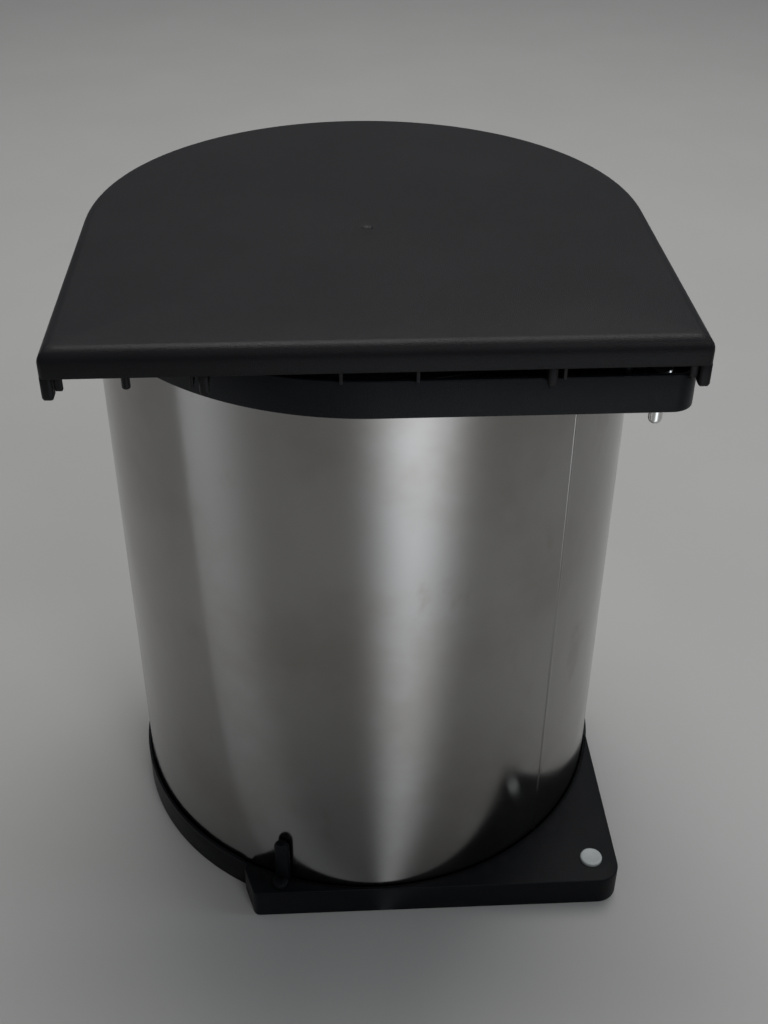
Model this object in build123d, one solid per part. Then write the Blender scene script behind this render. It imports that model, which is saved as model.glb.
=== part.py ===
from build123d import *
import math
import os

# Round swing-out kitchen bin for a base cabinet: steel body between two black plastic mouldings,
# a lift-out bucket inside and a loose lid on top. Origin: bin axis at floor level, +Z up,
# -Y towards the side wall of the cabinet. All sizes are in millimetres.

# Steel shell
shell_r = 132.5
shell_wall = 0.6
shell_bottom_z = 5.5
shell_tuck = 7.8
seam_angle = -47.4
seam_width = 2.4
seam_proud = 0.45

# Base moulding
base_top_z = 17.9
base_lip_gap = 0.6
base_lip_wall = 1.7
base_lip_rise = 1.3
base_plate = 2.4
base_wall = 2.4
base_floor = 3.0
base_left_reach = 66.5
base_right_inset = 2.4
base_front_step = 0.3
base_right_corner = 12.0
base_left_corner = 4.0
base_edge_round = 0.8
base_hub_r = 18.0
base_rib = 2.0
base_rib_x = (-40.0, 48.0, 76.0)
base_rib_angles = (-62.0, -45.0, -28.0)
base_rib_foot = 1.0
base_spokes = 12
base_spoke_foot = 0.6
base_collar_wall = 2.0
base_collar = 9.5
base_left_lean = 0.32
slit_width = 1.2
slit_length = 6.0
slit_side_inset = 3.7
slit_front_inset = 8.3
bite = 1.0

# Pivot line, shared by the pin above and the bush below
pivot_side_inset = 14.2
pivot_front_inset = 15.5
pin_r = 3.0
pin_neck_r = 3.5
pin_reach = 12.8
pin_tip_round = 2.4
pin_head_r = 5.0
pin_head = 2.0
pin_head_chamfer = 0.5
clip_ring = 1.6
clip_thickness = 0.6
clip_land = 0.3
running_gap = 0.05
bush_cap_r = 6.0
bush_cap = 1.8
bush_cap_round = 0.9
bush_dish_r = 40.0
bush_dish = 0.4
bush_r = 5.0
bush_foot_z = 0.6
bush_end_wall = 2.9
boss_wall = 2.4

# Stop post at the left end of the base: a round foot and a blade close to the shell
post_angle = -112.06
post_gap = 6.8
post_foot_r = 4.2
post_foot = 3.6
blade_gap = 0.6
blade_width = 8.2
blade_depth = 4.4
blade_edge = 2.0
blade_top_z = 46.8
blade_top_round = 3.0
post_shank_r = 2.8
post_shank = 7.2
post_screw_r = 1.5
screw_head = 2.0
screw_drive_r = 1.1
screw_drive = 1.2

# Upper frame
frame_bottom_z = 311.2
frame_height = 17.6
frame_skirt = 1.0
frame_wall = 3.5
frame_edge = 0.4
arm_end = 13.2
arm_front_step = 0.1
arm_wall = 2.4
arm_corner = 10.0
arm_rib_drop = 5.6
arm_rib_x = (64.0, 84.0)
arm_plate_drop = 8.8
arm_plate = 1.6
arm_hole_r = 2.2
arm_holes = ((-12.7, 8.6), (-7.2, 9.1))
boss_ribs = ((11.0, 0.0), (-14.0, 40.0), (1.3, -13.0))
groove_play = 0.1
ledge_drop = 6.3
ledge = 2.4
ledge_width = 8.5

# Lid
lid_gap = 5.8
lid_height = 12.6
lid_overhang = 0.3
lid_front_overlap = 4.1
lid_wall = 2.8
lid_round = 6.0
lid_corner = 2.5
lid_inner_corner = 1.0
lid_dimple_r = 2.4
lid_dimple = 0.5
lid_dimple_y = -22.0
rest_gap = 0.3
thin_rib = 1.5
thin_rib_x = (15.4, 74.5)
front_rib_length = 12.0
hook_x = 69.6
hook_width = 4.0
hook_drop = 2.8
hook_clear = 0.8
hook_inset = 0.6
hook_rib_rise = 1.0
root = 2.0
peg_x = 101.4
peg_inset = 8.9
peg_r = 1.8
peg_drop = 3.3
peg_round = 0.9
nub_inset = 7.1
nub_width = 3.6
nub_drop = 0.3
nub_clear = 0.5
prong_width = 5.0
prong_length = 6.1
prong_inset = 0.4
prong_drop = 4.0
tip_round = 0.4
deck_rib_spacing = 44.0
deck_rib_steps = (-2, -1, 0, 1, 2)
deck_rib = 1.6
deck_rib_height = 5.0
deck_rib_inset = 20.0
deck_bite = 0.5
buffer_length = 12.0
buffer_angles = (-8.0, 35.0, 145.0, 188.0)
buffer_inset = 0.2

# Bucket and bail
bucket_play = 2.5
bucket_taper = 13.0
bucket_wall = 2.0
bucket_lift = 3.5
bucket_foot_round = 8.0
rim_play = 0.8
rim_thickness = 2.5
lug_wall = 3.0
lug_width = 13.0
bail_wire_r = 1.8
bail_clear = 4.0
bail_bend = 4.0
bail_sweep = 48.0
bail_shoulder = 30.0
bail_stub = 9.5
bail_lift = 0.7
grip_r = 5.0
grip_length = 76.0
grip_round = 1.5
grip_grooves = 7
groove_width = 1.6
groove_depth = 0.5

# Rivets
rivet_r = 1.6
rivet_head_r = 3.0
rivet_head = 1.0
rivet_angles = (20.0, 110.0, 200.0, 250.0)
frame_rivet_rise = 4.2
base_rivet_rise = 5.0

# Places and sizes that follow from the ones above
shell_inner_r = shell_r - shell_wall
shell_top_z = frame_bottom_z + shell_tuck
base_r = shell_r + base_lip_gap + base_lip_wall
base_lip_z = base_top_z + base_lip_rise
base_left_x = -base_left_reach
base_right_x = base_r - base_right_inset
base_front_y = -base_r - base_front_step
base_collar_z = shell_bottom_z + base_collar
collar_r = shell_inner_r - groove_play
pivot_x = base_right_x - pivot_side_inset
pivot_y = base_front_y + pivot_front_inset
pin_tip_z = frame_bottom_z - pin_reach
clip_top_z = frame_bottom_z - running_gap
bush_bore_z = base_top_z - bush_end_wall
post_x = (shell_r + post_gap) * math.cos(math.radians(post_angle))
post_y = (shell_r + post_gap) * math.sin(math.radians(post_angle))
blade_x = shell_r + blade_gap + blade_depth / 2
frame_top_z = frame_bottom_z + frame_height
frame_r = shell_r + frame_skirt
frame_inner_r = frame_r - frame_wall
arm_right_x = pivot_x + arm_end
arm_front_y = -frame_r + arm_front_step
arm_plate_z = frame_top_z - arm_plate_drop
rib_top_z = frame_top_z - arm_rib_drop
ledge_top_z = frame_top_z - ledge_drop
ledge_r = frame_inner_r - ledge_width
lid_bottom_z = frame_top_z + lid_gap
lid_top_z = lid_bottom_z + lid_height
lid_r = frame_r + lid_overhang
lid_front_y = arm_front_y - lid_front_overlap
deck_z = lid_top_z - lid_wall
rim_bottom_z = ledge_top_z + rest_gap
rim_top_z = rim_bottom_z + rim_thickness
rim_r = frame_inner_r - rim_play
bucket_r = ledge_r - bucket_play
bucket_foot_r = bucket_r - bucket_taper
bucket_bottom_z = shell_bottom_z + bucket_lift
bail_reach = bucket_r + bail_clear
bail_z = rim_top_z + bail_lift + bail_wire_r
lug_x = bail_reach - bail_bend - rest_gap - lug_wall / 2
frame_rivet_z = frame_bottom_z + frame_rivet_rise
base_rivet_z = shell_bottom_z + base_rivet_rise


def disc(radius, bottom, top, x=0.0, y=0.0):
    """Upright cylinder between two heights."""
    return Pos(x, y, bottom) * Cylinder(radius, top - bottom, align=(Align.CENTER, Align.CENTER, Align.MIN))


def block(x0, x1, y0, y1, z0, z1):
    """Box between two corners."""
    size = (x1 - x0, y1 - y0, z1 - z0)
    return Pos((x0 + x1) / 2, (y0 + y1) / 2, (z0 + z1) / 2) * Box(*size)


def ring(outer, inner, bottom, top):
    """Upright tube between two heights."""
    return disc(outer, bottom, top) - disc(inner, bottom, top)


def corner_block(x0, x1, y0, y1, z0, z1, left, right):
    """Box whose two front upright edges are rounded."""
    body = block(x0, x1, y0, y1, z0, z1)
    if left > 0:
        body = fillet(body.edges().filter_by(Axis.Z).group_by(Axis.Y)[0].sort_by(Axis.X)[0], left)
    if right > 0:
        body = fillet(body.edges().filter_by(Axis.Z).group_by(Axis.Y)[0].sort_by(Axis.X)[-1], right)
    return body


def radial_pin(radius, inner, outer, angle, z):
    """Round pin whose axis points out from the bin axis."""
    pin = Cylinder(radius, outer - inner, align=(Align.CENTER, Align.CENTER, Align.MIN))
    return Rot(0, 0, angle) * Pos(inner, 0, z) * Rot(0, 90, 0) * pin


def rib_between(x0, y0, x1, y1, width, z0, z1):
    """Upright rib of one width along a plan line."""
    length = math.hypot(x1 - x0, y1 - y0)
    turn = math.degrees(math.atan2(y1 - y0, x1 - x0))
    return Pos((x0 + x1) / 2, (y0 + y1) / 2, (z0 + z1) / 2) * Rot(0, 0, turn) * Box(length, width, z1 - z0)


def make_steel_shell():
    """Rolled sheet with one upright lock seam."""
    body = ring(shell_r, shell_inner_r, shell_bottom_z, shell_top_z)
    outer = shell_r + seam_proud
    seam_low = base_lip_z + rest_gap
    seam_high = frame_bottom_z - rest_gap
    seam = block(shell_r - shell_wall / 2, outer, -seam_width / 2, seam_width / 2, seam_low, seam_high)
    seam = chamfer(seam.edges().filter_by(Axis.Z).filter_by(lambda e: e.center().X > shell_r), seam_proud / 2)
    body += Rot(0, 0, seam_angle) * seam
    for angle in rivet_angles:
        for z in (frame_rivet_z, base_rivet_z):
            body -= radial_pin(rivet_r, frame_inner_r, frame_r, angle, z)
    return body


def base_outline(bottom, top, inset=0.0):
    """Plan of the base block, drawn in by an inset; its left side leans out towards the tray."""
    left = base_left_x + inset * math.hypot(1.0, base_left_lean)
    right = base_right_x - inset
    front = base_front_y + inset
    corners = [(left, front), (right, front), (right, 0.0), (left + base_left_lean * front, 0.0)]
    body = Pos(0, 0, bottom) * extrude(make_face(Polyline(*corners, close=True)), top - bottom)
    if base_left_corner > inset:
        left_edge = body.edges().filter_by(Axis.Z).group_by(Axis.Y)[0].sort_by(Axis.X)[0]
        body = fillet(left_edge, base_left_corner - inset)
    if base_right_corner > inset:
        right_edge = body.edges().filter_by(Axis.Z).group_by(Axis.Y)[0].sort_by(Axis.X)[-1]
        body = fillet(right_edge, base_right_corner - inset)
    return body


def make_base_tray():
    """Round tray for the shell with a square-cornered block that carries the pivot and the post."""
    outer = base_outline(0.0, base_top_z)
    top_edges = outer.faces().sort_by(Axis.Z)[-1].edges().filter_by(lambda e: e.center().Y < -bite)
    outer = fillet(top_edges, base_edge_round)
    inside = base_outline(0.0, base_top_z - base_plate, base_wall) - disc(base_r, 0.0, base_top_z)
    lip_inner = base_r - base_lip_wall
    body = outer - inside + disc(base_r, 0.0, base_lip_z)
    body -= disc(lip_inner, shell_bottom_z, base_lip_z)
    body -= base_outline(base_top_z, base_lip_z)
    recess_r = lip_inner - base_wall
    body -= ring(recess_r, base_hub_r, 0.0, shell_bottom_z - base_floor)
    body += ring(collar_r, collar_r - base_collar_wall, shell_bottom_z, base_collar_z)
    under = base_top_z - base_plate
    for spoke in range(base_spokes):
        turn = spoke * 360.0 / base_spokes
        spoke_rib = block(base_hub_r - bite, recess_r + bite, -base_rib / 2, base_rib / 2,
                          base_spoke_foot, base_floor)
        body += Rot(0, 0, turn) * spoke_rib
    body += disc(bush_r + boss_wall, 0.0, under, pivot_x, pivot_y)
    body += disc(post_shank_r + boss_wall, base_spoke_foot, under, post_x, post_y)
    reach = base_r - base_lip_wall / 2
    for angle in base_rib_angles:
        x = reach * math.cos(math.radians(angle))
        y = reach * math.sin(math.radians(angle))
        rib = rib_between(x, y, pivot_x, pivot_y, base_rib, base_rib_foot, under)
        body += rib - disc(reach, 0.0, base_top_z)
    for x in base_rib_x:
        rib = block(x, x + base_rib, base_front_y + base_wall / 2, base_front_y / 2, base_rib_foot, under)
        body += rib - disc(reach, 0.0, base_top_z)
    body -= disc(bush_r, 0.0, base_top_z, pivot_x, pivot_y)
    body -= disc(post_shank_r, 0.0, base_top_z, post_x, post_y)
    slit_x = base_left_x + slit_side_inset
    slit_y = base_front_y + slit_front_inset
    body -= block(slit_x, slit_x + slit_width, slit_y, slit_y + slit_length, under - base_plate, base_top_z)
    for angle in rivet_angles:
        body -= radial_pin(rivet_r, collar_r - 2 * base_collar_wall, lip_inner, angle, base_rivet_z)
    return body


def make_base_bush():
    """White nylon bush, blind, with a shallow dished cap on top."""
    body = disc(bush_r, bush_foot_z, base_top_z, pivot_x, pivot_y)
    cap = disc(bush_cap_r, base_top_z, base_top_z + bush_cap, pivot_x, pivot_y)
    cap = fillet(cap.faces().sort_by(Axis.Z)[-1].edges(), bush_cap_round)
    dish = Pos(pivot_x, pivot_y, base_top_z + bush_cap + bush_dish_r - bush_dish) * Sphere(bush_dish_r)
    bore = disc(pin_r + running_gap, 0.0, bush_bore_z, pivot_x, pivot_y)
    return body + cap - dish - bore


def make_stop_post():
    """Round foot on the base and a blade with rounded top corners that rises close to the shell."""
    foot = disc(post_foot_r, base_top_z, base_top_z + post_foot, post_x, post_y)
    low = base_lip_z + rest_gap
    half = blade_width / 2
    blade = block(blade_x - blade_depth / 2, blade_x + blade_depth / 2, -half, half, low, blade_top_z)
    blade = fillet(blade.edges().filter_by(Axis.Z), blade_edge)
    arch = block(blade_x - blade_depth, blade_x + blade_depth, -half, half, low, blade_top_z)
    arch = fillet(arch.faces().sort_by(Axis.Z)[-1].edges().filter_by(Axis.X), blade_top_round)
    shank = disc(post_shank_r, base_top_z - post_shank, base_top_z, post_x, post_y)
    pilot = disc(post_screw_r, 0.0, base_top_z, post_x, post_y)
    return foot + Rot(0, 0, post_angle) * (blade & arch) + shank - pilot


def make_post_screw():
    """Self-tapping screw that holds the post from below."""
    head_z = base_top_z - post_shank
    head = disc(post_shank_r - running_gap, head_z - screw_head, head_z, post_x, post_y)
    shank = disc(post_screw_r, head_z, base_top_z, post_x, post_y)
    drive = disc(screw_drive_r, head_z - screw_head, head_z - screw_head + screw_drive, post_x, post_y)
    return head + shank - drive


def make_top_frame():
    """Ring that caps the shell, with the hollow arm that carries the pivot pin."""
    arm = corner_block(0.0, arm_right_x, arm_front_y, 0.0, frame_bottom_z, frame_top_z, 0.0, arm_corner)
    hollow = corner_block(
        -bite, arm_right_x - arm_wall, arm_front_y + arm_wall, -bite, frame_bottom_z, frame_top_z,
        0.0, arm_corner - arm_wall,
    )
    ring_bite_r = frame_inner_r + bite
    keep_out = disc(ring_bite_r, frame_bottom_z, frame_top_z)
    body = arm - hollow - disc(frame_inner_r, frame_bottom_z, frame_top_z)
    body += ring(frame_r, frame_inner_r, frame_bottom_z, frame_top_z)
    body += ring(ring_bite_r, ledge_r, ledge_top_z - ledge, ledge_top_z)
    outside = body.faces().sort_by(Axis.Z)[-1].outer_wire().edges()
    body = chamfer(outside, frame_edge)
    limit = corner_block(0.0, arm_right_x - bite, arm_front_y + bite, 0.0, frame_bottom_z, frame_top_z,
                         0.0, arm_corner - bite)
    plate = (block(0.0, arm_right_x, arm_front_y, 0.0, arm_plate_z - arm_plate, arm_plate_z) & limit) - keep_out
    for dx, dy in arm_holes:
        plate -= disc(arm_hole_r, arm_plate_z - arm_plate, arm_plate_z, pivot_x + dx, pivot_y + dy)
    body += plate
    body += disc(pin_neck_r + boss_wall, frame_bottom_z, rib_top_z, pivot_x, pivot_y)
    for dx, dy in boss_ribs:
        rib = rib_between(pivot_x, pivot_y, pivot_x + dx, pivot_y + dy, base_rib, frame_bottom_z, arm_plate_z)
        body += (rib & limit) - keep_out
    for x in arm_rib_x:
        body += block(x, x + base_rib, arm_front_y + bite, pivot_y / 2, frame_bottom_z, arm_plate_z) - keep_out
    groove_outer = shell_r + groove_play
    groove_inner = shell_inner_r - groove_play
    body -= ring(groove_outer, groove_inner, frame_bottom_z, shell_top_z + groove_play)
    body -= disc(pin_neck_r + running_gap, frame_bottom_z, rib_top_z, pivot_x, pivot_y)
    for angle in rivet_angles:
        body -= radial_pin(rivet_r, frame_inner_r - rivet_head, shell_r, angle, frame_rivet_z)
    return body


def make_pivot_pin():
    """Steel pin with a rounded tip and a flat head that rests on the arm's boss."""
    seat = rib_top_z
    step_z = clip_top_z - clip_thickness - clip_land
    shank = disc(pin_r, pin_tip_z, step_z, pivot_x, pivot_y)
    shank = fillet(shank.faces().sort_by(Axis.Z)[0].edges(), pin_tip_round)
    shank += disc(pin_neck_r, step_z, seat + running_gap, pivot_x, pivot_y)
    head = disc(pin_head_r, seat + running_gap, seat + running_gap + pin_head, pivot_x, pivot_y)
    head = chamfer(head.faces().sort_by(Axis.Z)[-1].edges(), pin_head_chamfer)
    return shank + head


def make_pin_clip():
    """Spring washer pushed on the pin's neck against the underside of the arm's boss."""
    bottom = clip_top_z - clip_thickness
    outer = disc(pin_neck_r + clip_ring, bottom, clip_top_z, pivot_x, pivot_y)
    return outer - disc(pin_neck_r, bottom, clip_top_z, pivot_x, pivot_y)


def rivets(inner, outer, z):
    """Four rivets with their heads on the inside of the wall."""
    pieces = []
    for angle in rivet_angles:
        seat = math.sqrt(inner ** 2 - rivet_head_r ** 2)
        shank = radial_pin(rivet_r, seat, outer, angle, z)
        head = radial_pin(rivet_head_r, seat - rivet_head, seat, angle, z)
        pieces.append(shank + head)
    return Compound(children=pieces)


def lid_outline(bottom, top, inset=0.0):
    """D-shaped plan: half round behind, straight sides and front edge."""
    radius = lid_r - inset
    corner = max(lid_corner - inset, lid_inner_corner)
    front = corner_block(-radius, radius, lid_front_y + inset, 0.0, bottom, top, corner, corner)
    return front + disc(radius, bottom, top)


def rounded_tip(shape, width):
    """The shape with its lower side edges rounded."""
    return fillet(shape.faces().sort_by(Axis.Z)[0].edges().filter_by(Axis.Y), width * tip_round)


def make_lid_plate():
    """Flat deck with a rolled edge, ribs below and the hooks along the front edge."""
    outer = lid_outline(lid_bottom_z, lid_top_z)
    outer = fillet(outer.faces().sort_by(Axis.Z)[-1].edges(), lid_round)
    inner = lid_outline(lid_bottom_z, deck_z, lid_wall)
    inner = fillet(inner.faces().sort_by(Axis.Z)[-1].edges(), lid_round - lid_wall)
    body = outer - inner
    body -= disc(lid_dimple_r, lid_top_z - lid_dimple, lid_top_z, 0.0, lid_dimple_y)
    back_y = lid_front_y + lid_wall + front_rib_length
    wall_y = lid_front_y + lid_wall / 2
    seat_z = frame_top_z + rest_gap
    for side in (-1, 1):
        for x in thin_rib_x:
            body += block(side * x - thin_rib / 2, side * x + thin_rib / 2, wall_y, back_y, seat_z, deck_z)
        hook_left = side * hook_x - hook_width / 2
        hook_right = side * hook_x + hook_width / 2
        hook = block(hook_left, hook_right, lid_front_y + hook_inset, arm_front_y - hook_clear,
                     frame_top_z - hook_drop, lid_bottom_z + root)
        body += rounded_tip(hook, hook_width)
        body += block(hook_left, hook_right, wall_y, back_y, seat_z + hook_rib_rise, deck_z)
        peg = disc(peg_r, frame_top_z - peg_drop, deck_z, side * peg_x, lid_front_y + peg_inset)
        body += fillet(peg.faces().sort_by(Axis.Z)[0].edges(), peg_round)
        nub_x = side * (lid_r - nub_inset)
        nub = block(nub_x - nub_width / 2, nub_x + nub_width / 2, wall_y, arm_front_y - nub_clear,
                    frame_top_z - nub_drop, deck_z)
        body += rounded_tip(nub, nub_width)
        prong_x = side * (lid_r - prong_width / 2)
        prong = block(prong_x - prong_width / 2, prong_x + prong_width / 2, lid_front_y + prong_inset,
                      lid_front_y + prong_inset + prong_length, frame_top_z - prong_drop, lid_bottom_z + root)
        body += rounded_tip(prong, prong_width)
    under = deck_z - deck_rib_height
    inside = lid_outline(under, deck_z, lid_wall / 2)
    for step in deck_rib_steps:
        x = step * deck_rib_spacing
        along_y = block(x - deck_rib / 2, x + deck_rib / 2, lid_front_y + deck_rib_inset, lid_r, under,
                        deck_z + deck_bite)
        along_x = block(-lid_r, lid_r, x - deck_rib / 2, x + deck_rib / 2, under, deck_z + deck_bite)
        body += along_y & inside
        body += along_x & inside
    return body


def make_lid_buffers():
    """Soft buffers under the lid's rim that sit on the frame."""
    pieces = []
    for angle in buffer_angles:
        radius = lid_r - lid_wall / 2
        low = frame_top_z + rest_gap
        pad = block(radius - lid_wall / 2 + buffer_inset, radius + lid_wall / 2 - buffer_inset,
                    -buffer_length / 2, buffer_length / 2, low, lid_bottom_z)
        limit = lid_outline(low, lid_bottom_z, buffer_inset)
        pieces.append((Rot(0, 0, angle) * pad) & limit)
    return Compound(children=[piece.solids()[0] for piece in pieces])


def make_inner_bucket():
    """Tapered bucket with a turned-out rim and two lugs for the bail."""
    height = rim_top_z - bucket_bottom_z
    upright = (Align.CENTER, Align.CENTER, Align.MIN)
    outer = Pos(0, 0, bucket_bottom_z) * Cone(bucket_foot_r, bucket_r, height, align=upright)
    outer = fillet(outer.faces().sort_by(Axis.Z)[0].edges(), bucket_foot_round)
    hollow = Cone(bucket_foot_r - bucket_wall, bucket_r - bucket_wall, height - bucket_wall, align=upright)
    hollow = Pos(0, 0, bucket_bottom_z + bucket_wall) * hollow
    hollow = fillet(hollow.faces().sort_by(Axis.Z)[0].edges(), bucket_foot_round - bucket_wall)
    body = outer + ring(rim_r, bucket_r - bucket_wall, rim_bottom_z, rim_top_z)
    body -= hollow
    for side in (-1, 1):
        lug = block(side * lug_x - lug_wall / 2, side * lug_x + lug_wall / 2,
                    -lug_width / 2, lug_width / 2, rim_bottom_z, bail_z)
        top = Pos(side * lug_x, 0, bail_z) * Rot(0, 90, 0) * Cylinder(lug_width / 2, lug_wall)
        body += lug + top
        body -= Pos(side * lug_x, 0, bail_z) * Rot(0, 90, 0) * Cylinder(bail_wire_r + running_gap, 3 * lug_wall)
    return body


def bail_half(side):
    """Edges of one half of the bail, from its stub to the middle of the grip."""
    reach = bail_reach
    bend = bail_bend
    stub_end = Vector(side * (reach - bail_stub), 0, bail_z)
    stub = Edge.make_line(stub_end, Vector(side * (reach - bend), 0, bail_z))
    quarter = bend * math.sin(math.radians(45))
    corner = Edge.make_three_point_arc(
        Vector(side * (reach - bend), 0, bail_z),
        Vector(side * (reach - bend + quarter), bend - quarter, bail_z),
        Vector(side * reach, bend, bail_z))
    sweep = math.radians(bail_sweep)
    mid = sweep / 2
    arc_end = Vector(side * reach * math.cos(sweep), bend + reach * math.sin(sweep), bail_z)
    arc = Edge.make_three_point_arc(
        Vector(side * reach, bend, bail_z),
        Vector(side * reach * math.cos(mid), bend + reach * math.sin(mid), bail_z),
        arc_end)
    turn = math.radians(90 - bail_sweep)
    centre_x = reach * math.cos(sweep) - bail_shoulder * math.sin(turn)
    centre_y = bend + reach * math.sin(sweep) - bail_shoulder * math.cos(turn)
    half_turn = turn / 2
    shoulder_end = Vector(side * centre_x, centre_y + bail_shoulder, bail_z)
    shoulder = Edge.make_three_point_arc(
        arc_end,
        Vector(side * (centre_x + bail_shoulder * math.sin(half_turn)),
               centre_y + bail_shoulder * math.cos(half_turn), bail_z),
        shoulder_end)
    return [stub, corner, arc, shoulder], shoulder_end


def make_bail_wire():
    """Steel wire handle in one plane, lying on the rim of the bucket."""
    right, right_end = bail_half(1)
    left, left_end = bail_half(-1)
    middle = Edge.make_line(right_end, left_end)
    path = Wire(right + [middle] + list(reversed(left)))
    start = Plane(origin=(bail_reach - bail_stub, 0, bail_z), z_dir=(1, 0, 0))
    return sweep_wire(start, path)


def sweep_wire(start, path):
    """Round wire along a path."""
    return sweep(start * Circle(bail_wire_r), path=path)


def make_bail_grip():
    """Plastic roll around the straight middle of the bail."""
    _, end = bail_half(1)
    roll = Pos(0, end.Y, bail_z) * Rot(0, 90, 0) * Cylinder(grip_r, grip_length)
    roll = fillet(roll.edges(), grip_round)
    groove = Cylinder(grip_r + bite, groove_width) - Cylinder(grip_r - groove_depth, groove_width)
    for step in range(grip_grooves):
        x = (step + 1) * grip_length / (grip_grooves + 1) - grip_length / 2
        roll -= Pos(x, end.Y, bail_z) * Rot(0, 90, 0) * groove
    return roll - Pos(0, end.Y, bail_z) * Rot(0, 90, 0) * Cylinder(bail_wire_r + running_gap, grip_length)


parts = {
    "steel_shell": make_steel_shell(),
    "base_tray": make_base_tray(),
    "base_bush": make_base_bush(),
    "stop_post": make_stop_post(),
    "post_screw": make_post_screw(),
    "top_frame": make_top_frame(),
    "frame_rivets": rivets(frame_inner_r, shell_r, frame_rivet_z),
    "base_rivets": rivets(collar_r - base_collar_wall, shell_r, base_rivet_z),
    "pivot_pin": make_pivot_pin(),
    "pin_clip": make_pin_clip(),
    "lid_plate": make_lid_plate(),
    "lid_buffers": make_lid_buffers(),
    "inner_bucket": make_inner_bucket(),
    "bail_wire": make_bail_wire(),
    "bail_grip": make_bail_grip(),
}

os.makedirs("parts", exist_ok=True)
for name, shape in parts.items():
    export_step(shape, "parts/" + name + ".step")
    print(name, len(shape.solids()), round(shape.volume, 1))
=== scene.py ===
"""Looks of a round swing-out kitchen bin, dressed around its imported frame.

The steel shell, the two black mouldings, the lid, the bucket and its bail are surfaces worked out
with numpy from the sizes of the frame's nodes. Small fasteners keep their own shape and get a finish.
"""

import logging
import math
from dataclasses import dataclass
from enum import Enum

import bmesh
import bpy
import numpy as np
from mathutils import Matrix, Vector


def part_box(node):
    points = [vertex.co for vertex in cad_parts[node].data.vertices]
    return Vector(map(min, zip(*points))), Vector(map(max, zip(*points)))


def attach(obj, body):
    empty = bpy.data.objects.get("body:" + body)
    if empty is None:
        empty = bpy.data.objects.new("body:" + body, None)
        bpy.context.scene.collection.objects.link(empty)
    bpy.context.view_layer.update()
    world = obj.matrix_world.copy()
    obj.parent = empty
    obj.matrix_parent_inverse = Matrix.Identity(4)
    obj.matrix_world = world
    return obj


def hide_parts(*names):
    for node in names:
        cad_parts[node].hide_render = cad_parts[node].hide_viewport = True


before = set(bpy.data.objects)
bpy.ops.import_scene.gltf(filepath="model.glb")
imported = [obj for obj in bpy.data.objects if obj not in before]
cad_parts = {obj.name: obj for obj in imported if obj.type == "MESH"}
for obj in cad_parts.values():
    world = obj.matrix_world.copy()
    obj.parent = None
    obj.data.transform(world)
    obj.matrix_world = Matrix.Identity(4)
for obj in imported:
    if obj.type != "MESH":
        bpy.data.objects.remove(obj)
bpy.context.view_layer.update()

MM = 0.001
SHEET_UV = "sheet"
GRAIN_WARP = 0.0006
PICTURE_HEIGHT = 1024.0
FLOOR_REACH = 8.0
CARD_REACH = 1.3
CARD_START = -0.13
CARD_LIFT = 0.0004
log = logging.getLogger("kitchen_bin")
logging.basicConfig(level=logging.INFO, format="%(name)s: %(message)s")


class Loop(Enum):
    """Whether a row or a column of a grid closes on itself."""

    OPEN = 0
    CLOSED = 1


@dataclass
class Surface:
    """Points and faces of one or more shells, in metres.

    Args:
        points: array of shape (count, 3).
        faces: lists of point numbers, three or four to a face.
    """

    points: np.ndarray
    faces: list

    def joined(self, *others: "Surface") -> "Surface":
        """This surface and others as one.

        Args:
            others: surfaces to add.

        Returns:
            A surface that holds all the shells.
        """
        points, faces, start = [self.points], list(self.faces), len(self.points)
        for other in others:
            points.append(other.points)
            faces += [[index + start for index in face] for face in other.faces]
            start += len(other.points)
        return Surface(np.concatenate(points), faces)

    def moved(self, matrix: Matrix) -> "Surface":
        """The surface after a turn or shift.

        Args:
            matrix: transform in metres.

        Returns:
            A new surface.
        """
        turn = np.array(matrix)
        return Surface(self.points @ turn[:3, :3].T + turn[:3, 3], self.faces)


@dataclass
class Outline:
    """A plan curve with its outward normals.

    Args:
        points: array of shape (count, 2), in metres.
        normals: unit normals of the same shape.
        loop: CLOSED if the last point joins the first.
        room: how far each point can be drawn in before its arc closes up, in metres.
        mitre: direction in which a point goes on once its arc has closed up.
    """

    points: np.ndarray
    normals: np.ndarray
    loop: Loop = Loop.CLOSED
    room: np.ndarray | None = None
    mitre: np.ndarray | None = None

    def inset(self, depth: float) -> np.ndarray:
        """Points drawn in by a depth in metres: along the normal, then along the corner's mitre."""
        if self.room is None:
            return self.points - depth * self.normals
        near = np.minimum(depth, self.room)[:, None]
        far = np.maximum(depth - self.room, 0.0)[:, None]
        return self.points - near * self.normals - far * self.mitre


def arc(x: float, y: float, radius: float, start: float, end: float, count: int) -> tuple:
    """Points of a circle arc: centre + radius (cos a, sin a), with a from start to end in degrees.

    Args:
        x, y: centre in metres.
        radius: radius in metres.
        start, end: angles in degrees.
        count: number of points.

    Returns:
        Points and unit normals, two arrays of shape (count, 2).
    """
    angle = np.radians(np.linspace(start, end, count))
    normal = np.stack([np.cos(angle), np.sin(angle)], axis=1)
    return np.array([x, y]) + radius * normal, normal


def chain(*arcs: tuple, loop: Loop = Loop.CLOSED) -> Outline:
    """An outline of arcs joined by straight lines.

    Args:
        arcs: points and normals of each arc, and for a sharp corner also its radius.
        loop: CLOSED if the last point joins the first.

    Returns:
        The outline; a sharp corner's mitre is n0 + n1, the sum of its first and last normals.
    """
    points = np.concatenate([a[0] for a in arcs])
    normals = np.concatenate([a[1] for a in arcs])
    room = np.concatenate([np.full(len(a[0]), a[2] if len(a) > 2 else np.inf) for a in arcs])
    mitre = np.concatenate([np.tile(a[1][0] + a[1][-1], (len(a[0]), 1)) for a in arcs])
    return Outline(points, normals, loop, room, mitre)


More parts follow.
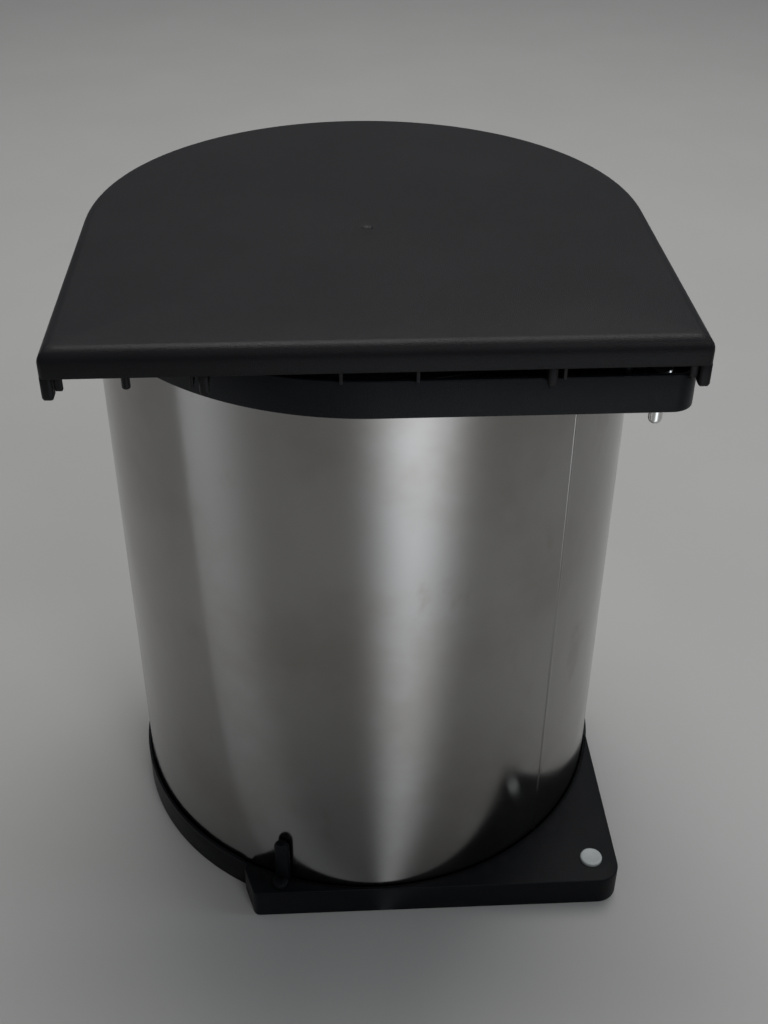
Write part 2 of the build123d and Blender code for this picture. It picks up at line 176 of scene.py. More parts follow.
def straight(start: tuple, end: tuple, count: int, keep: slice = slice(1, -1)) -> tuple:
    """Points of a straight run whose outward side is on its right: normal = (dy, -dx) / length.

    Args:
        start, end: plan points in metres.
        count: number of points, both ends included.
        keep: which of them are used.

    Returns:
        Points and unit normals, two arrays of shape (count, 2).
    """
    line = np.linspace(start, end, count)[keep]
    way = np.subtract(end, start) / math.dist(start, end)
    return line, np.tile([way[1], -way[0]], (len(line), 1))


def circle(radius: float, x: float = 0.0, y: float = 0.0, count: int = 48) -> Outline:
    """A full circle without a doubled end point."""
    points, normals = arc(x, y, radius, 0.0, 360.0, count + 1)
    return Outline(points[:-1], normals[:-1])


def rounded_rectangle(x0: float, x1: float, y0: float, y1: float, radius: float, steps: int = 5) -> Outline:
    """A rectangle whose four corners are arcs of one radius."""
    corners = ((x1, y1, 0), (x0, y1, 90), (x0, y0, 180), (x1, y0, 270))
    side = {x0: 1, x1: -1}
    rise = {y0: 1, y1: -1}
    return chain(*(arc(x + side[x] * radius, y + rise[y] * radius, radius, a, a + 90, steps)
                   for x, y, a in corners))


def grid_faces(rows: int, columns: int, along: Loop, across: Loop) -> list:
    """Quads of a grid numbered row by row.

    Args:
        rows, columns: size of the grid.
        along: CLOSED if the last row joins the first.
        across: CLOSED if the last column joins the first.

    Returns:
        Lists of four point numbers.
    """
    i = np.arange(rows if along is Loop.CLOSED else rows - 1)[:, None]
    j = np.arange(columns if across is Loop.CLOSED else columns - 1)[None, :]
    i1, j1 = (i + 1) % rows, (j + 1) % columns
    quads = np.stack([i * columns + j, i1 * columns + j, i1 * columns + j1, i * columns + j1], axis=-1)
    return quads.reshape(-1, 4).tolist()


def woven(points: np.ndarray, along: Loop, across: Loop, capped: bool = False) -> Surface:
    """A surface over an array of points of shape (rows, columns, 3).

    Args:
        points: the array, in metres.
        along: CLOSED if the last row joins the first.
        across: CLOSED if the last column joins the first.
        capped: whether the first and the last row are each closed by one face.

    Returns:
        The surface.
    """
    rows, columns = points.shape[:2]
    faces = grid_faces(rows, columns, along, across)
    if capped:
        faces += [list(range(columns)), list(range((rows - 1) * columns, rows * columns))[::-1]]
    return Surface(points.reshape(-1, 3), faces)


def towards(plan: np.ndarray, y: float = 0.0) -> np.ndarray:
    """Unit vectors from a point on the middle line towards plan points."""
    turn = np.arctan2(plan[:, 1] - y, plan[:, 0])
    return np.stack([np.cos(turn), np.sin(turn)], axis=1)


def at_height(plan: np.ndarray, z: float) -> np.ndarray:
    """Plan points as space points at one height."""
    return np.column_stack([plan, np.full(len(plan), z)])


def carried(outline: Outline, profile: np.ndarray, across: Loop = Loop.CLOSED) -> Surface:
    """A profile carried round an outline: point (s, t) = outline(s) - inset(t) normal(s), at height z(t).

    Args:
        outline: plan curve.
        profile: array of shape (count, 2) with inset and height in metres.
        across: CLOSED if the profile is a loop.

    Returns:
        The swept surface.
    """
    plan = np.stack([outline.inset(depth) for depth in profile[:, 0]], axis=1)
    height = np.broadcast_to(profile[None, :, 1:], plan.shape[:2] + (1,))
    return woven(np.concatenate([plan, height], axis=2), outline.loop, across)


def turned(profile: np.ndarray, x: float = 0.0, y: float = 0.0, count: int = 64) -> Surface:
    """A profile of radius and height turned about an upright axis: (x + r cos a, y + r sin a, z)."""
    ring = circle(1.0, count=count)
    plan = ring.points[:, None, :] * profile[None, :, :1] + np.array([x, y])
    height = np.broadcast_to(profile[None, :, 1:], plan.shape[:2] + (1,))
    return woven(np.concatenate([plan, height], axis=2), Loop.CLOSED, Loop.OPEN)


def rounded_loop(x0: float, x1: float, z0: float, z1: float, radius: float, steps: int = 4) -> np.ndarray:
    """A rounded rectangle used as a closed wall profile of inset and height."""
    return rounded_rectangle(x0, x1, z0, z1, radius, steps).points


def prism(outline: Outline, z0: float, z1: float, radius: float, steps: int = 3) -> Surface:
    """A closed upright prism whose top and bottom edges are quarter rounds, capped by fans.

    Args:
        outline: closed plan curve, star-shaped about its middle.
        z0, z1: bottom and top in metres.
        radius: edge radius in metres.
        steps: points on each quarter round.

    Returns:
        A closed surface.
    """
    a = np.radians(np.linspace(0.0, 90.0, steps))
    low = np.stack([radius * (1 - np.sin(a)), z0 + radius * (1 - np.cos(a))], axis=1)
    high = np.stack([radius * (1 - np.cos(a)), z1 - radius * (1 - np.sin(a))], axis=1)
    wall = carried(outline, np.concatenate([low, high]), Loop.OPEN)
    count, columns = len(outline.points), 2 * steps
    middle = outline.points.mean(axis=0)
    ends = np.array([[*middle, z0], [*middle, z1]])
    bottom, top = len(wall.points), len(wall.points) + 1
    fans = []
    for i in range(count):
        here, after = i * columns, (i + 1) % count * columns
        fans.append([after, here, bottom])
        fans.append([here + columns - 1, after + columns - 1, top])
    return Surface(np.concatenate([wall.points, ends]), wall.faces + fans)


def bar(x0: float, x1: float, y0: float, y1: float, z0: float, z1: float, radius: float) -> Surface:
    """A box with rounded edges between two corners, in metres."""
    return prism(rounded_rectangle(x0, x1, y0, y1, radius), z0, z1, radius)


def rib(start: tuple, end: tuple, width: float, z0: float, z1: float) -> Surface:
    """An upright rib between two plan points."""
    length = math.hypot(end[0] - start[0], end[1] - start[1])
    turn = math.atan2(end[1] - start[1], end[0] - start[0])
    flat = bar(0.0, length, -width / 2, width / 2, z0, z1, 0.2 * MM)
    return flat.moved(Matrix.Translation((start[0], start[1], 0.0)) @ Matrix.Rotation(turn, 4, "Z"))


def add_piece(name: str, surface: Surface, material: bpy.types.Material, body: str, node: str,
              crease: float = 40.0) -> bpy.types.Object:
    """Puts a surface into the scene as a welded mesh that faces outwards, in place of a node of the frame.

    Args:
        name: name of the piece.
        surface: its shells.
        material: its finish.
        body: body of the frame that carries it.
        node: node of the frame that it stands for.
        crease: angle in degrees past which an edge stays sharp.

    Returns:
        The new object.
    """
    mesh = bpy.data.meshes.new(name)
    mesh.from_pydata(surface.points.tolist(), [], surface.faces)
    work = bmesh.new()
    work.from_mesh(mesh)
    bmesh.ops.remove_doubles(work, verts=work.verts, dist=1e-7)
    bmesh.ops.dissolve_degenerate(work, edges=work.edges, dist=1e-7)
    bmesh.ops.recalc_face_normals(work, faces=work.faces)
    work.to_mesh(mesh)
    work.free()
    mesh.shade_smooth()
    mesh.set_sharp_from_angle(angle=math.radians(crease))
    mesh.materials.append(material)
    piece = bpy.data.objects.new(name, mesh)
    bpy.context.scene.collection.objects.link(piece)
    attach(piece, body)
    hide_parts(node)
    log.info("%s: %d faces on %s", name, len(mesh.polygons), body)
    return piece


def dress(material: bpy.types.Material, *nodes: str) -> None:
    """Gives a finish to nodes of the frame that keep their own shape."""
    for node in nodes:
        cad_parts[node].data.materials.clear()
        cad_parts[node].data.materials.append(material)
        log.info("%s: dressed with %s", node, material.name)


def put_on_stage(name: str, corners: list, material: bpy.types.Material, mirrored_only: bool = False) -> None:
    """Adds a flat sheet of the studio between four corners.

    Args:
        name: name of the sheet.
        corners: four points in metres.
        material: its material.
        mirrored_only: whether only reflections show it.
    """
    mesh = bpy.data.meshes.new(name)
    mesh.from_pydata(corners, [], [(0, 1, 2, 3)])
    mesh.materials.append(material)
    sheet = bpy.data.objects.new(name, mesh)
    bpy.context.scene.collection.objects.link(sheet)
    if mirrored_only:
        sheet.visible_camera = sheet.visible_diffuse = sheet.visible_shadow = False


class Nodes:
    """Short ways to add and join shader nodes in one tree.

    Args:
        tree: the node tree to fill.
    """

    def __init__(self, tree: bpy.types.NodeTree) -> None:
        self.tree = tree

    def add(self, kind: str, **settings: object) -> bpy.types.Node:
        """Adds a node and sets its properties.

        Args:
            kind: Blender's node type.
            settings: properties of the node.

        Returns:
            The node.
        """
        node = self.tree.nodes.new(kind)
        for key, value in settings.items():
            setattr(node, key, value)
        return node

    def join(self, source: bpy.types.NodeSocket, target: bpy.types.NodeSocket) -> None:
        """Links two sockets."""
        self.tree.links.new(source, target)

    def put(self, value: object, target: bpy.types.NodeSocket) -> None:
        """Links a socket's value or sets a plain one."""
        if isinstance(value, bpy.types.NodeSocket):
            self.join(value, target)
        else:
            target.default_value = value

    def feed(self, node: bpy.types.Node, **inputs: object) -> bpy.types.Node:
        """Sets or links inputs by name, with underscores for blanks."""
        for key, value in inputs.items():
            self.put(value, node.inputs[key.replace("_", " ")])
        return node

    def math(self, operation: str, first: object, second: object = 0.0) -> bpy.types.NodeSocket:
        """A math node's value."""
        node = self.add("ShaderNodeMath", operation=operation)
        for socket, value in zip(node.inputs, (first, second)):
            self.put(value, socket)
        return node.outputs[0]

    def remap(self, value: bpy.types.NodeSocket, low: float, high: float, to_low: float,
              to_high: float) -> bpy.types.NodeSocket:
        """A smooth clamped change of range."""
        node = self.add("ShaderNodeMapRange", interpolation_type="SMOOTHSTEP")
        self.feed(node, Value=value, From_Min=low, From_Max=high, To_Min=to_low, To_Max=to_high)
        return node.outputs["Result"]

    def noise(self, vector: bpy.types.NodeSocket, scale: float, detail: float = 3.0,
              roughness: float = 0.55) -> bpy.types.NodeSocket:
        """Fractal noise over a vector."""
        node = self.add("ShaderNodeTexNoise")
        self.feed(node, Vector=vector, Scale=scale, Detail=detail, Roughness=roughness)
        return node.outputs["Fac"]

    def stretched(self, vector: bpy.types.NodeSocket, scale: tuple) -> bpy.types.NodeSocket:
        """A vector scaled along each axis."""
        node = self.add("ShaderNodeMapping")
        self.feed(node, Vector=vector, Scale=scale)
        return node.outputs["Vector"]

    def mix(self, factor: object, first: object, second: object) -> bpy.types.NodeSocket:
        """A blend of two colours."""
        node = self.add("ShaderNodeMix", data_type="RGBA")
        for socket, value in zip((node.inputs[0], node.inputs[6], node.inputs[7]), (factor, first, second)):
            self.put(value, socket)
        return node.outputs[2]


def new_material(name: str) -> tuple:
    """A new material, the helper for its nodes and its Principled shader."""
    material = bpy.data.materials.new(name)
    material.use_nodes = True
    return material, Nodes(material.node_tree), material.node_tree.nodes["Principled BSDF"]


def rgba(colour: tuple) -> tuple:
    """A colour with full alpha."""
    return (*colour, 1.0)


class EffectGroups:
    """Shader groups that several finishes share, each built once."""

    def __init__(self) -> None:
        self.grain = self._build("moulded_grain", ("Vector", "Cell Size", "Softness"),
                                 ("Height",), self._fill_grain)
        self.dust = self._build("settled_dust", ("Vector", "Amount"), ("Mask",), self._fill_dust)
        self.wear = self._build("edge_wear", ("Vector", "Amount"), ("Mask",), self._fill_wear)
        self.smudge = self._build("hand_smudges", ("Vector", "Scale"), ("Mask", "Fine"), self._fill_smudge)

    @staticmethod
    def _build(name: str, inputs: tuple, outputs: tuple, fill: object) -> bpy.types.NodeTree:
        """Makes a group, its sockets and its inner nodes.

        Args:
            name: name of the group.
            inputs: names of inputs; Vector is a vector and the rest are numbers.
            outputs: names of number outputs.
            fill: function that adds the inner nodes.

        Returns:
            The group's tree.
        """
        tree = bpy.data.node_groups.new(name, "ShaderNodeTree")
        for item in inputs:
            kind = "NodeSocketVector" if item == "Vector" else "NodeSocketFloat"
            tree.interface.new_socket(name=item, in_out="INPUT", socket_type=kind)
        for item in outputs:
            tree.interface.new_socket(name=item, in_out="OUTPUT", socket_type="NodeSocketFloat")
        nodes = Nodes(tree)
        fill(nodes, nodes.add("NodeGroupInput").outputs, nodes.add("NodeGroupOutput").inputs)
        return tree

    @staticmethod
    def _fill_grain(nodes: Nodes, given: object, out: object) -> None:
        """Pebbled mould grain: distance to the edges of warped cells, softened by fine noise."""
        scale = nodes.math("DIVIDE", 1.0, given["Cell Size"])
        warp = nodes.add("ShaderNodeTexNoise")
        nodes.feed(warp, Vector=given["Vector"], Scale=scale, Detail=2.0)
        shift = nodes.add("ShaderNodeVectorMath", operation="MULTIPLY_ADD")
        nodes.join(warp.outputs["Color"], shift.inputs[0])
        shift.inputs[1].default_value = (GRAIN_WARP,) * 3
        nodes.join(given["Vector"], shift.inputs[2])
        cells = nodes.add("ShaderNodeTexVoronoi", feature="DISTANCE_TO_EDGE")
        nodes.feed(cells, Vector=shift.outputs[0], Scale=scale)
        pebble = nodes.remap(cells.outputs["Distance"], 0.0, 0.28, 0.0, 1.0)
        fine = nodes.add("ShaderNodeTexNoise")
        nodes.feed(fine, Vector=given["Vector"], Scale=nodes.math("MULTIPLY", scale, 2.6), Detail=3.0)
        soft = nodes.math("MULTIPLY", fine.outputs["Fac"], given["Softness"])
        nodes.join(nodes.math("ADD", pebble, soft), out["Height"])

    @staticmethod
    def _fill_dust(nodes: Nodes, given: object, out: object) -> None:
        """Dust on faces that look up: broken noise times the normal's height."""
        normal = nodes.add("ShaderNodeNewGeometry").outputs["Normal"]
        split = nodes.add("ShaderNodeSeparateXYZ")
        nodes.join(normal, split.inputs[0])
        up = nodes.remap(split.outputs["Z"], 0.2, 0.95, 0.0, 1.0)
        cloud = nodes.remap(nodes.noise(given["Vector"], 14.0, 4.0), 0.42, 0.72, 0.0, 1.0)
        specks = nodes.remap(nodes.noise(given["Vector"], 900.0, 2.0), 0.62, 0.8, 0.0, 1.0)
        both = nodes.math("ADD", nodes.math("MULTIPLY", cloud, 0.6), specks)
        nodes.join(nodes.math("MULTIPLY", nodes.math("MULTIPLY", both, up), given["Amount"]), out["Mask"])

    @staticmethod
    def _fill_wear(nodes: Nodes, given: object, out: object) -> None:
        """Rubbed edges: pointed places of the mesh, broken up by noise."""
        pointed = nodes.add("ShaderNodeNewGeometry").outputs["Pointiness"]
        edge = nodes.remap(pointed, 0.53, 0.62, 0.0, 1.0)
        broken = nodes.remap(nodes.noise(given["Vector"], 160.0, 4.0), 0.4, 0.7, 0.0, 1.0)
        nodes.join(nodes.math("MULTIPLY", nodes.math("MULTIPLY", edge, broken), given["Amount"]), out["Mask"])

    @staticmethod
    def _fill_smudge(nodes: Nodes, given: object, out: object) -> None:
        """Dull cloudy patches, and a finer cloud for tone."""
        patches = nodes.add("ShaderNodeTexNoise")
        nodes.feed(patches, Vector=given["Vector"], Scale=given["Scale"], Detail=5.0, Roughness=0.6)
        nodes.join(nodes.remap(patches.outputs["Fac"], 0.42, 0.68, 0.0, 1.0), out["Mask"])
        fine = nodes.add("ShaderNodeTexNoise")
        finer = nodes.math("MULTIPLY", given["Scale"], 5.0)
        nodes.feed(fine, Vector=given["Vector"], Scale=finer, Detail=4.0)
        nodes.join(fine.outputs["Fac"], out["Fine"])


@dataclass(frozen=True)
class PlasticFinish:
    """Moulded plastic with a pebbled grain, dust, edge wear and cloudy gloss.

    Args:
        name: name of the material.
        colour: base colour.
        pale: colour of dust and rubbed edges.
        roughness: middle roughness.
        spread: how far roughness varies.
        specular: specular level.
        cell: grain cell in metres.
        relief: depth of the grain in metres.
        dust: amount of dust.
        wear: amount of edge wear.
    """

    name: str
    colour: tuple
    pale: tuple
    roughness: float
    spread: float
    specular: float
    cell: float
    relief: float
    dust: float
    wear: float

    def material(self, groups: EffectGroups) -> bpy.types.Material:
        """Builds the material.

        Args:
            groups: shared shader groups.

        Returns:
            The material.
        """
        material, nodes, shader = new_material(self.name)
        place = nodes.add("ShaderNodeTexCoord").outputs["Object"]
        grain = nodes.feed(nodes.add("ShaderNodeGroup", node_tree=groups.grain),
                           Vector=place, Cell_Size=self.cell, Softness=0.5)
        dust = nodes.feed(nodes.add("ShaderNodeGroup", node_tree=groups.dust), Vector=place, Amount=self.dust)
        wear = nodes.feed(nodes.add("ShaderNodeGroup", node_tree=groups.wear), Vector=place, Amount=self.wear)
        tone = nodes.noise(place, 22.0, 4.0)
        deep = tuple(0.9 * c for c in self.colour)
        lit = tuple(1.1 * c for c in self.colour)
        body = nodes.mix(nodes.remap(tone, 0.3, 0.7, 0.0, 1.0), rgba(deep), rgba(lit))
        pale = nodes.math("MAXIMUM", dust.outputs["Mask"], wear.outputs["Mask"])
        nodes.join(nodes.mix(pale, body, rgba(self.pale)), shader.inputs["Base Color"])
        cloudy = nodes.remap(nodes.noise(place, 9.0, 5.0), 0.3, 0.7, self.roughness - self.spread,
                             self.roughness + self.spread)
        nodes.join(nodes.math("ADD", cloudy, nodes.math("MULTIPLY", pale, 0.2)), shader.inputs["Roughness"])
        shader.inputs["Specular IOR Level"].default_value = self.specular
        bump = nodes.feed(nodes.add("ShaderNodeBump"), Strength=0.8, Distance=self.relief,
                          Height=grain.outputs["Height"])
        nodes.join(bump.outputs["Normal"], shader.inputs["Normal"])
        return material


@dataclass(frozen=True)
class SteelFinish:
    """Stainless or zinc-bright steel with fine brushing, clouded gloss, and darker brownish patches that are
    partly smudges and partly a painted reflection of the room's darker stripes.

    Args:
        name: name of the material.
        colour: base colour.
        stain_and_reflection_tint: colour of the dull patches, darker and browner than the steel; partly
            smudges, partly a painted reflection of the room's darker stripes.
        roughness: least roughness.
        spread: how much a smudge adds to roughness.
        stretch: how far the highlight is drawn out across the brushing.
        brush: scale of the brushing over the sheet's own coordinates; all zero for none.
        brush_depth: relief of the brushing in metres.
    """

    name: str
    colour: tuple
    stain_and_reflection_tint: tuple
    roughness: float
    spread: float
    stretch: float
    brush: tuple
    brush_depth: float

    def material(self, groups: EffectGroups) -> bpy.types.Material:
        """Builds the material.

        Args:
            groups: shared shader groups.

        Returns:
            The material.
        """
        material, nodes, shader = new_material(self.name)
        place = nodes.add("ShaderNodeTexCoord").outputs["Object"]
        smudge = nodes.feed(nodes.add("ShaderNodeGroup", node_tree=groups.smudge), Vector=place, Scale=11.0)
        # Darker brownish patches drawn out upright: partly smudges, partly a painted reflection of the room's
        # darker stripes.
        streaks_and_painted_reflection = nodes.remap(nodes.noise(nodes.stretched(place, (1.0, 1.0, 0.6)), 34.0, 6.0, 0.65),
                            0.56, 0.74, 0.0, 0.6)
        stain_and_reflection_mask = nodes.math("MAXIMUM", nodes.math("MULTIPLY", smudge.outputs["Mask"], 0.55), streaks_and_painted_reflection)
        # The base colour goes darker and browner in these patches: painted reflection mixed with smudges.
        nodes.join(nodes.mix(stain_and_reflection_mask, rgba(self.colour), rgba(self.stain_and_reflection_tint)), shader.inputs["Base Color"])
        shader.inputs["Metallic"].default_value = 1.0
        dull = nodes.math("ADD", nodes.math("MULTIPLY", stain_and_reflection_mask, self.spread), self.roughness)
        fine = nodes.remap(smudge.outputs["Fine"], 0.3, 0.7, -0.02, 0.02)
        nodes.join(nodes.math("ADD", dull, fine), shader.inputs["Roughness"])
        if self.brush_depth > 0:
            self._brush(nodes, shader)
        return material

    def _brush(self, nodes: Nodes, shader: bpy.types.Node) -> None:
        """Adds the brushing's relief and turns the highlight across it."""
        sheet = nodes.add("ShaderNodeUVMap", uv_map=SHEET_UV).outputs["UV"]
        lines = nodes.noise(nodes.stretched(sheet, self.brush), 1.0, 2.0, 0.6)
        bump = nodes.feed(nodes.add("ShaderNodeBump"), Strength=0.5, Distance=self.brush_depth, Height=lines)
        nodes.join(bump.outputs["Normal"], shader.inputs["Normal"])
        tangent = nodes.add("ShaderNodeTangent", direction_type="UV_MAP", uv_map=SHEET_UV)
        nodes.join(tangent.outputs["Tangent"], shader.inputs["Tangent"])
        shader.inputs["Anisotropic"].default_value = self.stretch
        shader.inputs["Anisotropic Rotation"].default_value = 0.25


LID_PLASTIC = PlasticFinish("lid_plastic", (0.0080, 0.0080, 0.0096), (0.10, 0.098, 0.095), 0.40, 0.04, 0.15,
                            0.0008, 0.00005, 0.03, 0.0)
FRAME_PLASTIC = PlasticFinish("frame_plastic", (0.0056, 0.0068, 0.0098), (0.10, 0.10, 0.105), 0.38, 0.05,
                              0.13, 0.0008, 0.00004, 0.04, 0.15)
BASE_PLASTIC = PlasticFinish("base_plastic", (0.0040, 0.0047, 0.0062), (0.11, 0.108, 0.105), 0.38, 0.05, 0.10,
                             0.0008, 0.00004, 0.05, 0.08)
NYLON = PlasticFinish("white_nylon", (0.40, 0.43, 0.43), (0.36, 0.35, 0.33), 0.34, 0.05, 0.45,
                      0.0009, 0.00003, 0.10, 0.05)
BUCKET_PLASTIC = PlasticFinish("bucket_plastic", (0.07, 0.073, 0.078), (0.2, 0.2, 0.2), 0.45, 0.06, 0.45,
                               0.0010, 0.00006, 0.08, 0.10)
GRIP_PLASTIC = PlasticFinish("grip_plastic", (0.03, 0.03, 0.033), (0.15, 0.15, 0.15), 0.40, 0.05, 0.45,
                             0.0009, 0.00005, 0.05, 0.10)
BUFFER_RUBBER = PlasticFinish("buffer_rubber", (0.02, 0.02, 0.02), (0.12, 0.12, 0.12), 0.72, 0.06, 0.35,
                              0.0008, 0.00006, 0.10, 0.05)
# The second colour of each steel is its dull patches' colour; on the shell it is darker and browner, partly
# smudges and partly a painted reflection of the room's darker stripes.
SHELL_STEEL = SteelFinish("shell_steel", (0.295, 0.29, 0.285), (0.225, 0.21, 0.19), 0.14, 0.07, 0.3,
                          (260.0, 5200.0, 1.0), 0.000004)
BRIGHT_STEEL = SteelFinish("bright_steel", (0.66, 0.66, 0.65), (0.46, 0.45, 0.43), 0.18, 0.15, 0.0,
                           (0.0, 0.0, 0.0), 0.0)


@dataclass
class SteelShell:
    """The rolled sheet between the mouldings.

    Args:
        material: its finish.
        wall: sheet thickness in metres.
        seam_angle: place of the seam, in degrees from +X.
        seam_half: half width of the seam in metres.
        seam_rise: how far the seam stands proud, in metres.
        count: points round the sheet.
    """

    material: bpy.types.Material
    wall: float = 0.6 * MM
    seam_angle: float = -47.4
    seam_half: float = 1.2 * MM
    seam_rise: float = 0.45 * MM
    count: int = 512

    def build(self) -> None:
        """Makes the sheet: r = R + rise (1 - (d / half)^3) near the seam, R elsewhere, d the arc distance."""
        low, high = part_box("steel_shell")
        radius = (high.x - low.x) / 2
        seam = math.radians(self.seam_angle)
        angle = np.linspace(0.0, 2 * np.pi, self.count + 1) + seam + np.pi
        near = seam + np.linspace(-2.0, 2.0, 33) * self.seam_half / radius + 2 * np.pi
        angle = np.sort(np.concatenate([angle, near]))
        distance = np.abs(angle - seam - 2 * np.pi) * radius / self.seam_half
        bulge = np.where(distance < 1.0, 1.0 - distance ** 3, 0.0) * self.seam_rise
        heights = np.linspace(low.z, high.z, 25)
        plan = np.stack([np.cos(angle), np.sin(angle)], axis=1)
        outer = plan * (radius + bulge)[:, None]
        inner = plan * (radius - self.wall)
        columns = [at_height(outer, z) for z in heights] + [at_height(inner, z) for z in heights[::-1]]
        sheet = woven(np.stack(columns, axis=1), Loop.OPEN, Loop.CLOSED)
        piece = add_piece("shell_sheet", sheet, self.material, "bin", "steel_shell", 50.0)
        self._lay_uv(piece, radius)

    @staticmethod
    def _lay_uv(piece: bpy.types.Object, radius: float) -> None:
        """Lays the sheet flat: u is the distance round it and v the height, both in metres."""
        mesh = piece.data
        layer = mesh.uv_layers.new(name=SHEET_UV)
        corners = np.empty(len(mesh.loops), np.int32)
        mesh.loops.foreach_get("vertex_index", corners)
        place = np.empty(len(mesh.vertices) * 3, np.float32)
        mesh.vertices.foreach_get("co", place)
        place = place.reshape(-1, 3)[corners]
        angle = np.arctan2(place[:, 1], place[:, 0])
        starts = np.empty(len(mesh.polygons), np.int32)
        totals = np.empty(len(mesh.polygons), np.int32)
        mesh.polygons.foreach_get("loop_start", starts)
        mesh.polygons.foreach_get("loop_total", totals)
        first = np.repeat(angle[starts], totals)
        angle = np.where(angle - first > np.pi, angle - 2 * np.pi, angle)
        angle = np.where(first - angle > np.pi, angle + 2 * np.pi, angle)
        layer.data.foreach_set("uv", np.stack([angle * radius, place[:, 2]], axis=1).ravel())


@dataclass
class Lid:
    """The D-shaped lid with its rolled edge and the ribs and hooks below.

    Args:
        material: its finish.
        buffer_material: finish of the buffers.
        wall: thickness in metres.
        roll: radius of the rolled edge in metres.
        corner: plan radius of the front corners in metres.
        skirt: height of the rim in metres.
        dimple: radius and depth of the moulding mark, in metres.
        mark_y: place of the moulding mark on the middle line, in metres.
    """

    material: bpy.types.Material
    buffer_material: bpy.types.Material
    wall: float = 2.8 * MM
    roll: float = 6.0 * MM
    corner: float = 2.5 * MM
    skirt: float = 12.6 * MM
    dimple: tuple = (2.4 * MM, 0.5 * MM)
    mark_y: float = -22.0 * MM

    def outline(self) -> Outline:
        """Plan of the lid: a half circle behind, straight sides and two small front corners."""
        low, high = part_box("lid_plate")
        radius, c = high.x, self.corner
        front = low.y
        return chain(arc(0.0, 0.0, radius, 0.0, 180.0, 145),
                     straight((-radius, 0.0), (-radius, front + c), 20),
                     (*arc(-radius + c, front + c, c, 180.0, 270.0, 9), c),
                     straight((-radius + c, front), (radius - c, front), 50),
                     (*arc(radius - c, front + c, c, 270.0, 360.0, 9), c),
                     straight((radius, front + c), (radius, 0.0), 20))

    def build(self) -> None:
        """Makes the skin, the ribs and the hooks, and dresses the buffers."""
        whole = self.skin().joined(self.ribs(), self.hooks())
        add_piece("lid_moulding", whole, self.material, "lid", "lid_plate", 45.0)
        dress(self.buffer_material, "lid_buffers")

    def skin(self) -> Surface:
        """Deck, rolled rim and underside as one closed shell.

        Returns:
            Rings of points: quarter rounds of the roll outside and inside, and flat rings that pass
            from the D shape to circles about the moulding mark, closed at two poles.
        """
        outline = self.outline()
        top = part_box("lid_plate")[1].z
        bottom = top - self.skirt
        a = np.radians(np.linspace(0.0, 90.0, 12))
        lip = 0.7 * MM
        b = np.radians(np.linspace(0.0, 180.0, 7))
        outer = np.stack([self.roll * (1 - np.sin(a)), top - self.roll * (1 - np.cos(a))], axis=1)
        lower = np.stack([self.wall / 2 - self.wall / 2 * np.cos(b), bottom + lip - lip * np.sin(b)], axis=1)
        reach = self.roll - self.wall
        deck = top - self.wall
        inner = np.stack([self.wall + reach * (1 - np.cos(a)), deck - reach * (1 - np.sin(a))], axis=1)
        profile = np.concatenate([outer, lower, inner])
        rim = carried(outline, profile, Loop.OPEN)
        middle = np.array([0.0, self.mark_y])
        way = towards(outline.points, self.mark_y)
        r, depth = self.dimple
        tops = [(size * MM, top) for size in (95.0, 60.0, 30.0, 12.0)]
        tops += [(r * share, top - depth * sunk)
                 for share, sunk in ((1.25, 0.0), (1.0, 0.15), (0.85, 0.8), (0.6, 1.0), (0.0, 1.0))]
        unders = [(60.0 * MM, deck), (20.0 * MM, deck), (0.0, deck)]
        above, below = (
            woven(np.stack([at_height(outline.inset(self.roll), first)]
                           + [at_height(middle + way * radius, z) for radius, z in rings], axis=1),
                  Loop.CLOSED, Loop.OPEN)
            for first, rings in ((top, tops), (deck, unders)))
        return rim.joined(above, below)

    def ribs(self) -> Surface:
        """Crossed stiffening ribs under the deck."""
        low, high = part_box("lid_plate")
        deck = high.z - self.wall
        radius, front = high.x - self.wall / 2, low.y + 20.0 * MM
        width, depth = 1.6 * MM, 5.0 * MM
        made = []
        for step in (-2, -1, 0, 1, 2):
            at = step * 44.0 * MM
            back = math.sqrt(radius ** 2 - at ** 2)
            made.append(rib((at, front), (at, back), width, deck - depth, deck + 0.5 * MM))
            side = math.sqrt(radius ** 2 - at ** 2) if at > 0 else radius
            made.append(rib((-side, at), (side, at), width, deck - depth, deck + 0.5 * MM))
        return made[0].joined(*made[1:])

    def hooks(self) -> Surface:
        """Ribs, hooks, pegs and end prongs along the front edge, mirrored about the middle."""
        low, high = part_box("lid_plate")
        deck, front = high.z - self.wall, low.y
        wall_y, back_y = front + self.wall / 2, front + self.wall + 12.0 * MM
        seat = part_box("top_frame")[1].z + 0.3 * MM
        face_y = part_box("top_frame")[0].y
        edge = high.x
        made = []
        root = high.z - self.skirt + 2.0 * MM
        blocks = ((15.4, 0.75, wall_y, back_y, seat, deck, 0.3),
                  (74.5, 0.75, wall_y, back_y, seat, deck, 0.3),
                  (69.6, 2.0, front + 0.6 * MM, face_y - 0.8 * MM, seat - 3.1 * MM, root, 1.2),
                  (69.6, 2.0, wall_y, back_y, seat + 1.0 * MM, deck, 0.4),
                  (edge / MM - 7.1, 1.8, wall_y, face_y - 0.5 * MM, seat - 0.6 * MM, deck, 1.1),
                  (edge / MM - 2.5, 2.48, front + 0.4 * MM, front + 6.5 * MM, seat - 4.3 * MM, root, 1.5))
        for side in (-1, 1):
            for x, half, y0, y1, z0, z1, radius in blocks:
                made.append(bar((side * x - half) * MM, (side * x + half) * MM, y0, y1, z0, z1, radius * MM))
            peg = circle(1.8 * MM, side * 101.4 * MM, front + 8.9 * MM, 24)
            made.append(prism(peg, seat - 3.6 * MM, deck, 0.9 * MM, 5))
        return made[0].joined(*made[1:])


